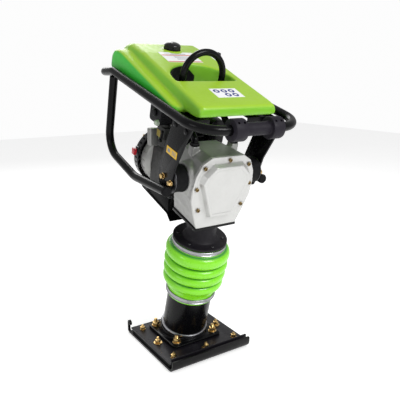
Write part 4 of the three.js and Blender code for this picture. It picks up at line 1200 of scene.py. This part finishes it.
class RAMMER_OT_handle(RammerStep, bpy.types.Operator):
    """Handle loop, arms, guards, throttle and roller"""

    bl_idname = "rammer.handle"
    bl_label = "Handle"

    def make(self):
        half = rounded(
            [(0, HANDLE_FRONT, HANDLE_Z), (HANDLE_HALF, HANDLE_FRONT, HANDLE_Z), (HANDLE_HALF, 356, HANDLE_Z),
             (HANDLE_HALF, HANDLE_REAR, REAR_BAR_Z), (0, HANDLE_REAR, REAR_BAR_Z)],
            (0, 76, 60, 74, 0),
        )
        other = [(-x, y, z) for x, y, z in reversed(half)]
        bm = bmesh.new()
        tube(bm, [*half, *other[1:-1]], TUBE_RADIUS, closed=True)
        foot = bmesh.new()
        block(foot, (156, 283, HANDLE_Z + 8), (170, 303, HANDLE_Z + 17))
        soften(foot, 1.5, 2)
        add_part(bm, foot)
        build("handle_loop_tube", bm, "enamel", "handle", ("handle_loop",), angle=50)
        for side, name in ((-1, "left"), (1, "right")):
            self.side(side, name)
        refine("throttle_lever", "nylon", 1.2, segments=3)
        self.roller()

    def side(self, side, name):
        x = HANDLE_HALF * side
        bend, end = Vector((x, 150, 548)), Vector((x, -36, 592))
        route = rounded(
            [(x, 347, HANDLE_Z - 14.5), (x, 347, 556), bend, end], (0, 66, 120, 0)
        )
        bm = bmesh.new()
        tube(bm, route, TUBE_RADIUS)
        build("guard_tube_%s_bend" % name, bm, "enamel", "handle", ("guard_tube_" + name,), angle=50)
        refine("handle_arm_" + name, "enamel", 1.0, segments=3)
        axis = "x" if side > 0 else "-x"
        bm = bmesh.new()
        for y, z in ((-36 + 8, 612), (14, 614)):
            fastener(bm, along(axis, ARM_OUTER * side, y, z), 9, 7.6, 5, 0.2, 0)
        build("arm_bolts_" + name, bm, "zinc", "handle")
        bm = bmesh.new()
        for y, z in ((-64, 771), (-10, 771)):
            solid_spun(
                bm, [(0, 0), (7, 0), (7.6, 0.8), (6.6, 3), (3, 4), (0, 4.2)], 32,
                along(axis, ARM_OUTER * side, y, z)
            )
        build("arm_rivets_" + name, bm, "enamel", "handle")
        # A fillet weld where the arm meets the loop.
        bm = bmesh.new()
        draw = random.Random(11 + side)
        for k in range(20):
            y = -84 + k * 4.4
            r = 3.0 + draw.uniform(-0.4, 0.4)
            profile = [(0, -r * 0.8), (r * 0.8, -r * 0.5), (r, 0), (r * 0.8, r * 0.5), (0, r * 0.8)]
            solid_spun(bm, profile, 12, Matrix.Translation((ARM_OUTER * side + 1.5 * side, y, 787.5)))
        build("arm_weld_" + name, bm, "enamel", "handle")
        bm = bmesh.new()
        turn = (end - bend).normalized().to_track_quat("Z", "Y").to_matrix().to_4x4()
        solid_spun(
            bm, [(0, -6), (13.6, -6), (13.6, 1), (12, 3.4), (6, 5), (0, 5.4)], 48,
            Matrix.Translation(end) @ turn
        )
        build("guard_cap_" + name, bm, "rubber", "handle")

    @staticmethod
    def roller():
        """Two collars on a sleeve, with blind set-screw holes."""
        bm = bmesh.new()
        bore, sleeve, collar, inner, end = 13.3, 17, 28.5, 40, 76
        right = [
            (sleeve, inner - 2), (sleeve + 2, inner), (collar - 2, inner), (collar - 0.7, inner + 0.4),
            (collar, inner + 2), (collar, end - 2.5), (collar - 0.5, end - 0.8), (collar - 2, end),
            (bore, end),
        ]
        profile = [(r, -h) for r, h in reversed(right)] + right
        spun(bm, profile, 96, along("x", 0, HANDLE_FRONT, HANDLE_Z))
        bmesh.ops.transform(bm, matrix=LEG, verts=bm.verts)
        cutters = bmesh.new()
        for x in (-66, -49, 49, 66):
            for angle in (-0.5, 1.6, 3.7):
                turn = (
                    along("x", x, HANDLE_FRONT, HANDLE_Z)
                    @ Matrix.Rotation(angle, 4, "Z")
                    @ Matrix.Rotation(math.pi / 2, 4, "Y")
                )
                solid_spun(cutters, [(0, 19), (3.4, 19), (3.4, 36), (0, 36)], 20, turn)
        bmesh.ops.transform(cutters, matrix=LEG, verts=cutters.verts)
        shell = without(mesh_of(bm, "roller"), mesh_of(cutters, "holes"))
        show("front_roller_skin", shell, "roller", "roller", ("front_roller",), 30)


class RAMMER_OT_tank(RammerStep, bpy.types.Operator):
    """Moulded fuel tank, its cap, tap and labels"""

    bl_idname = "rammer.tank"
    bl_label = "Fuel tank"

    # Along the tank: y, lowest z, half width of the wall, half width of the top, drop of the top.
    hull = (
        (424, 808, 108, 98, 48), (413, 801, 113, 104, 25), (394, 797, 115, 107, 9), (366, 796, 116, 108, 0),
        (280, 796, 116, 109, 0),
        (110, 796, 117, 111, 0), (-40, 800, 120, 114, 0), (-60, 804, 119, 113, 1), (-66, 807, 116, 110, 7),
    )
    # Along a ledge: y, lowest z, outer edge, drop of its top.
    ledge = (
        (422, 802, 141, 50), (411, 797, 146, 28), (394, 795, 148.5, 12), (368, 794, 149, 3),
        (345, 794, 149, 0), (90, 793, 149, 0),
        (40, 792, 149, 0), (26, 792, 146, 1), (16, 792, 137, 2), (10, 792, 124, 3),
    )
    hull_shift = 9

    def make(self):
        bm = bmesh.new()
        loft(bm, [self.hull_loop(*station) for station in self.hull])
        hull = self.placed(bm, "hull")
        bm = bmesh.new()
        loft(bm, [self.ledge_loop(*station) for station in self.ledge])
        ledge = self.placed(bm, "ledge")
        hull = without(hull, self.hole())
        ledge = without(ledge, self.hole())
        bm = bmesh.new()
        bm.from_mesh(hull)
        bm.from_mesh(ledge)
        extra = bmesh.new()
        block(extra, (-96, 28, 770), (-76, 52, 800))
        neck = deck(CAP_Y) + 3
        solid_spun(
            extra, [(0, neck - 20), (31, neck - 20), (29, neck - 3), (28, neck), (0, neck)], 64,
            Matrix.Translation((0, CAP_Y, 0))
        )
        bmesh.ops.transform(extra, matrix=LEG, verts=extra.verts)
        add_part(bm, extra)
        mesh = moulded(mesh_of(bm, "tank"), sizes().tank_voxel, 10)
        self.mark_wall_shade(mesh)
        show("fuel_tank_shell", mesh, "tank", "handle", ("fuel_tank",), 0)
        self.well_shade()
        self.cradle()
        self.cap()
        refine("fuel_tap", "nylon", 0.9)
        refine("cap_gasket", "rubber", 0.5)
        self.labels()

    @staticmethod
    def placed(bm, name):
        bmesh.ops.transform(bm, matrix=LEG, verts=bm.verts)
        return mesh_of(bm, name)

    def hull_loop(self, y, bottom, half, top, drop):
        level = deck(y) - drop
        side = [
            (half - 4, bottom), (half, bottom + 4),
            (half, max(bottom + 6, min(ledge_level(y) + 1, level - 12))),
            (top + 3, level - 7), (top - 5, level),
        ]
        right = [(x + self.hull_shift, y, z) for x, z in side]
        return right + [(-x, y, z) for x, z in reversed(side)]

    @staticmethod
    def ledge_loop(y, bottom, half, drop):
        level = min(ledge_level(y), deck(y) - 14) - drop
        side = [(half - 4, bottom), (half, bottom + 3), (half - 1, level - 5), (half - 8, level)]
        return [(x, y, z) for x, z in side] + [(-x, y, z) for x, z in reversed(side)]

    def hole(self):
        """The well behind the front deck, straight in front and round behind."""
        reach = WELL_BACK - WELL_SHOULDER
        arch = [
            (WELL_MIDDLE + WELL_HALF * math.cos(a), WELL_SHOULDER + reach * math.sin(a))
            for a in (math.pi * i / 40 for i in range(41))
        ]
        front = [(WELL_MIDDLE - WELL_HALF, WELL_FRONT), (WELL_MIDDLE + WELL_HALF, WELL_FRONT)]
        bm = bmesh.new()
        slab(bm, [*arch, *front], 160, Matrix.Translation((0, 0, 750)))
        return self.placed(bm, "well")

    @staticmethod
    def well_shade():
        """A black sheet of painted shade round the left and back of the well, cut lower towards the right."""
        gap, thickness = 1.4, 3

        def arc(inset):
            half, reach = WELL_HALF - inset, WELL_BACK - WELL_SHOULDER - inset
            turns = [math.pi * (0.42 + 0.58 * i / 36) for i in range(37)]
            return [(WELL_MIDDLE + half * math.cos(a), WELL_SHOULDER + reach * math.sin(a)) for a in turns]

        ends = [(WELL_MIDDLE - WELL_HALF + inset, WELL_FRONT + 2) for inset in (gap, gap + thickness)]
        outline = [*arc(gap), *ends, *reversed(arc(gap + thickness))]
        bm = bmesh.new()
        slab(bm, outline, 120, Matrix.Translation((0, 0, 792)))
        cuts = (((0, 100, deck(100) - 5), (0, -DECK_SLOPE, 1)), ((-10, 200, deck(200) - 6), (0.9, 0.1, 1)))
        for place, normal in cuts:
            geom = [*bm.verts, *bm.edges, *bm.faces]
            cut = bmesh.ops.bisect_plane(
                bm, geom=geom, dist=0.001, plane_co=place, plane_no=normal, clear_outer=True
            )
            edges = [g for g in cut["geom_cut"] if isinstance(g, bmesh.types.BMEdge)]
            bmesh.ops.contextual_create(bm, geom=edges)
        build("well_shade_sheet", bm, "rubber", "handle")

    @staticmethod
    def cradle():
        """Two steel wings between the loop's tubes that the tank's front rests on."""
        for side, name in ((-1, "left"), (1, "right")):
            low, high = sorted((62 * side, 146 * side))
            bm = bmesh.new()
            block(bm, (low, -34, 784), (high, 80, 787.6))
            block(bm, (low, -34, 768), (high, -30.4, 786))
            soften(bm, 0.8, 2)
            build("tank_cradle_" + name, bm, "enamel", "handle")

    @staticmethod
    def mark_wall_shade(mesh):
        """Stores how upright each spot of the skin is, for the painted shade on the walls: upright faces
        darker, the ledges' outer faces darkest.
        """
        wall_shade = mesh.attributes.new("wall_shade", "FLOAT", "POINT")
        back = LEG.inverted()
        for vertex, value in zip(mesh.vertices, wall_shade.data):
            # Painted shade: the more upright and the further out a spot lies, the more of the dark side
            # colour.
            upright = max(0.0, min(1.0, (0.82 - vertex.normal.dot(LEG_UP)) / 0.5))
            outward = max(0.0, min(1.0, (abs((back @ vertex.co).x) - 126) / 16))
            value.value = upright * (0.38 + 0.62 * outward)

    @staticmethod
    def cap():
        base = deck(CAP_Y) + 6.3
        place = Matrix.Translation((0, CAP_Y, 0))
        bm = bmesh.new()
        count = 36
        ribs = []
        for i in range(count * 4):
            angle = 2 * math.pi * i / (count * 4)
            radius = 25.2 if i % 4 in (0, 1) else 23.9
            ribs.append((radius * math.cos(angle), radius * math.sin(angle)))
        slab(bm, ribs, 9, place @ Matrix.Translation((0, 0, base)))
        dome = [
            (24.2, base + 8.4), (24.4, base + 10), (23, base + 12.4), (20, base + 14.8), (14, base + 17),
            (7, base + 18), (0, base + 18.2)
        ]
        solid_spun(bm, [(0, base + 8.4), *dome], 72, place)
        solid_spun(bm, [(0, base - 18), (16.6, base - 18), (16.6, base + 1), (0, base + 1)], 48, place)
        build("filler_cap_dome", bm, "gloss_nylon", "cap", ("filler_cap",))

    def labels(self):
        slope = math.atan(DECK_SLOPE)
        front = Matrix.Translation((9, 10, deck(10) - 0.1)) @ Matrix.Rotation(slope, 4, "X")
        label("front_label", "handle", front, 86, 52, "white_vinyl")
        ring = 9.6
        marks = [(x, y, ring) for x, y in ((-27, 11), (-3, 11), (21, 11), (-3, -12), (21, -12))]
        rings("front_label_marks", "handle", front, marks, "blue_ink")
        rear = Matrix.Translation((-2, 247, deck(247) - 0.1)) @ Matrix.Rotation(slope, 4, "X")
        label("rear_label", "handle", rear, 116, 74, "white_vinyl")
        bars("rear_label_lines", "handle", rear, ((0, 14, 114, 5), (0, -33, 114, 5)), "orange_ink")
        lines = ((12, 4, 66, 2), (12, -3, 66, 2), (12, -10, 58, 2), (12, -17, 62, 2), (4, 23, 50, 3))
        bars("rear_label_rows", "handle", rear, lines, "grey_ink")
        arm = (
            Matrix.Translation((-ARM_OUTER, -12, 694))
            @ Matrix.Rotation(-math.pi / 2, 4, "Y")
            @ Matrix.Rotation(math.pi / 2, 4, "Z")
        )
        label("arm_label", "handle", arm, 54, 20, "yellow_vinyl", 1.0)
        bars(
            "arm_label_marks", "handle", arm,
            ((14, 0, 12, 9), (-4, 0, 3, 12), (-11, 0, 3, 12), (-18, 0, 3, 12)), "grey_ink", 0.9
        )
        side = (
            Matrix.Translation((-84, 176, 668))
            @ Matrix.Rotation(-math.pi / 2, 4, "Y")
            @ Matrix.Rotation(math.pi / 2, 4, "Z")
        )
        label("carburettor_label", "machine", side, 26, 20, "olive_vinyl", 0.9)


def deck(y):
    """Height of the tank's sloping top."""
    rise = (min(y, DECK_BEND) - DECK_FRONT) * DECK_SLOPE
    return DECK_LEVEL + rise + max(y - DECK_BEND, 0) * REAR_SLOPE


def ledge_level(y):
    """Height of the top of the side ledges."""
    return LEDGE_LEVEL + y * LEDGE_SLOPE


def label(name, body, place, width, height, look, thick=0.7):
    """A plain film stuck on a surface."""
    bm = bmesh.new()
    x, y = width / 2, height / 2
    slab(bm, [(-x, -y), (x, -y), (x, y), (-x, y)], thick, place)
    soften(bm, 0.2, 1)
    return build(name, bm, look, body)


def bars(name, body, place, marks, look, lift=0.6):
    """Printed bars on a label: place, width and height of each."""
    bm = bmesh.new()
    for x, y, width, height in marks:
        at = place @ Matrix.Translation((x, y, lift))
        u, v = width / 2, height / 2
        slab(bm, [(-u, -v), (u, -v), (u, v), (-u, v)], 0.25, at)
    return build(name, bm, look, body)


def rings(name, body, place, marks, look, lift=0.6):
    """Printed rings on a label: place and radius of each."""
    bm = bmesh.new()
    for x, y, radius in marks:
        at = place @ Matrix.Translation((x, y, lift))
        spun(bm, [(radius * 0.45, 0), (radius, 0), (radius, 0.25), (radius * 0.45, 0.25)], 32, at)
    return build(name, bm, look, body)


class RAMMER_PT_panel(bpy.types.Panel):
    """Lists the building steps"""

    bl_label = "Petrol rammer"
    bl_idname = "RAMMER_PT_panel"
    bl_space_type = "VIEW_3D"
    bl_region_type = "UI"
    bl_category = "Rammer"

    def draw(self, context):
        for step in STEPS:
            self.layout.operator(step.bl_idname)
        for group in (context.scene.rammer_sizes, context.scene.rammer_colours):
            for key in group.__annotations__:
                self.layout.prop(group, key)


STEPS = (
    RAMMER_OT_stage, RAMMER_OT_shoe, RAMMER_OT_leg, RAMMER_OT_gearbox, RAMMER_OT_engine, RAMMER_OT_handle,
    RAMMER_OT_tank,
)
CLASSES = (RAMMER_PG_sizes, RAMMER_PG_colours, *STEPS, RAMMER_PT_panel)
LOOKS = {}


def register():
    for kind in CLASSES:
        bpy.utils.register_class(kind)
    bpy.types.Scene.rammer_sizes = bpy.props.PointerProperty(type=RAMMER_PG_sizes)
    bpy.types.Scene.rammer_colours = bpy.props.PointerProperty(type=RAMMER_PG_colours)


def unregister():
    del bpy.types.Scene.rammer_colours
    del bpy.types.Scene.rammer_sizes
    for kind in reversed(CLASSES):
        bpy.utils.unregister_class(kind)


def main():
    register()
    LOOKS.update(finishes())
    bpy.ops.rammer.stage()
    bpy.ops.rammer.shoe()
    bpy.ops.rammer.leg()
    bpy.ops.rammer.gearbox()
    bpy.ops.rammer.engine()
    bpy.ops.rammer.handle()
    bpy.ops.rammer.tank()


if __name__ == "__main__":
    main()
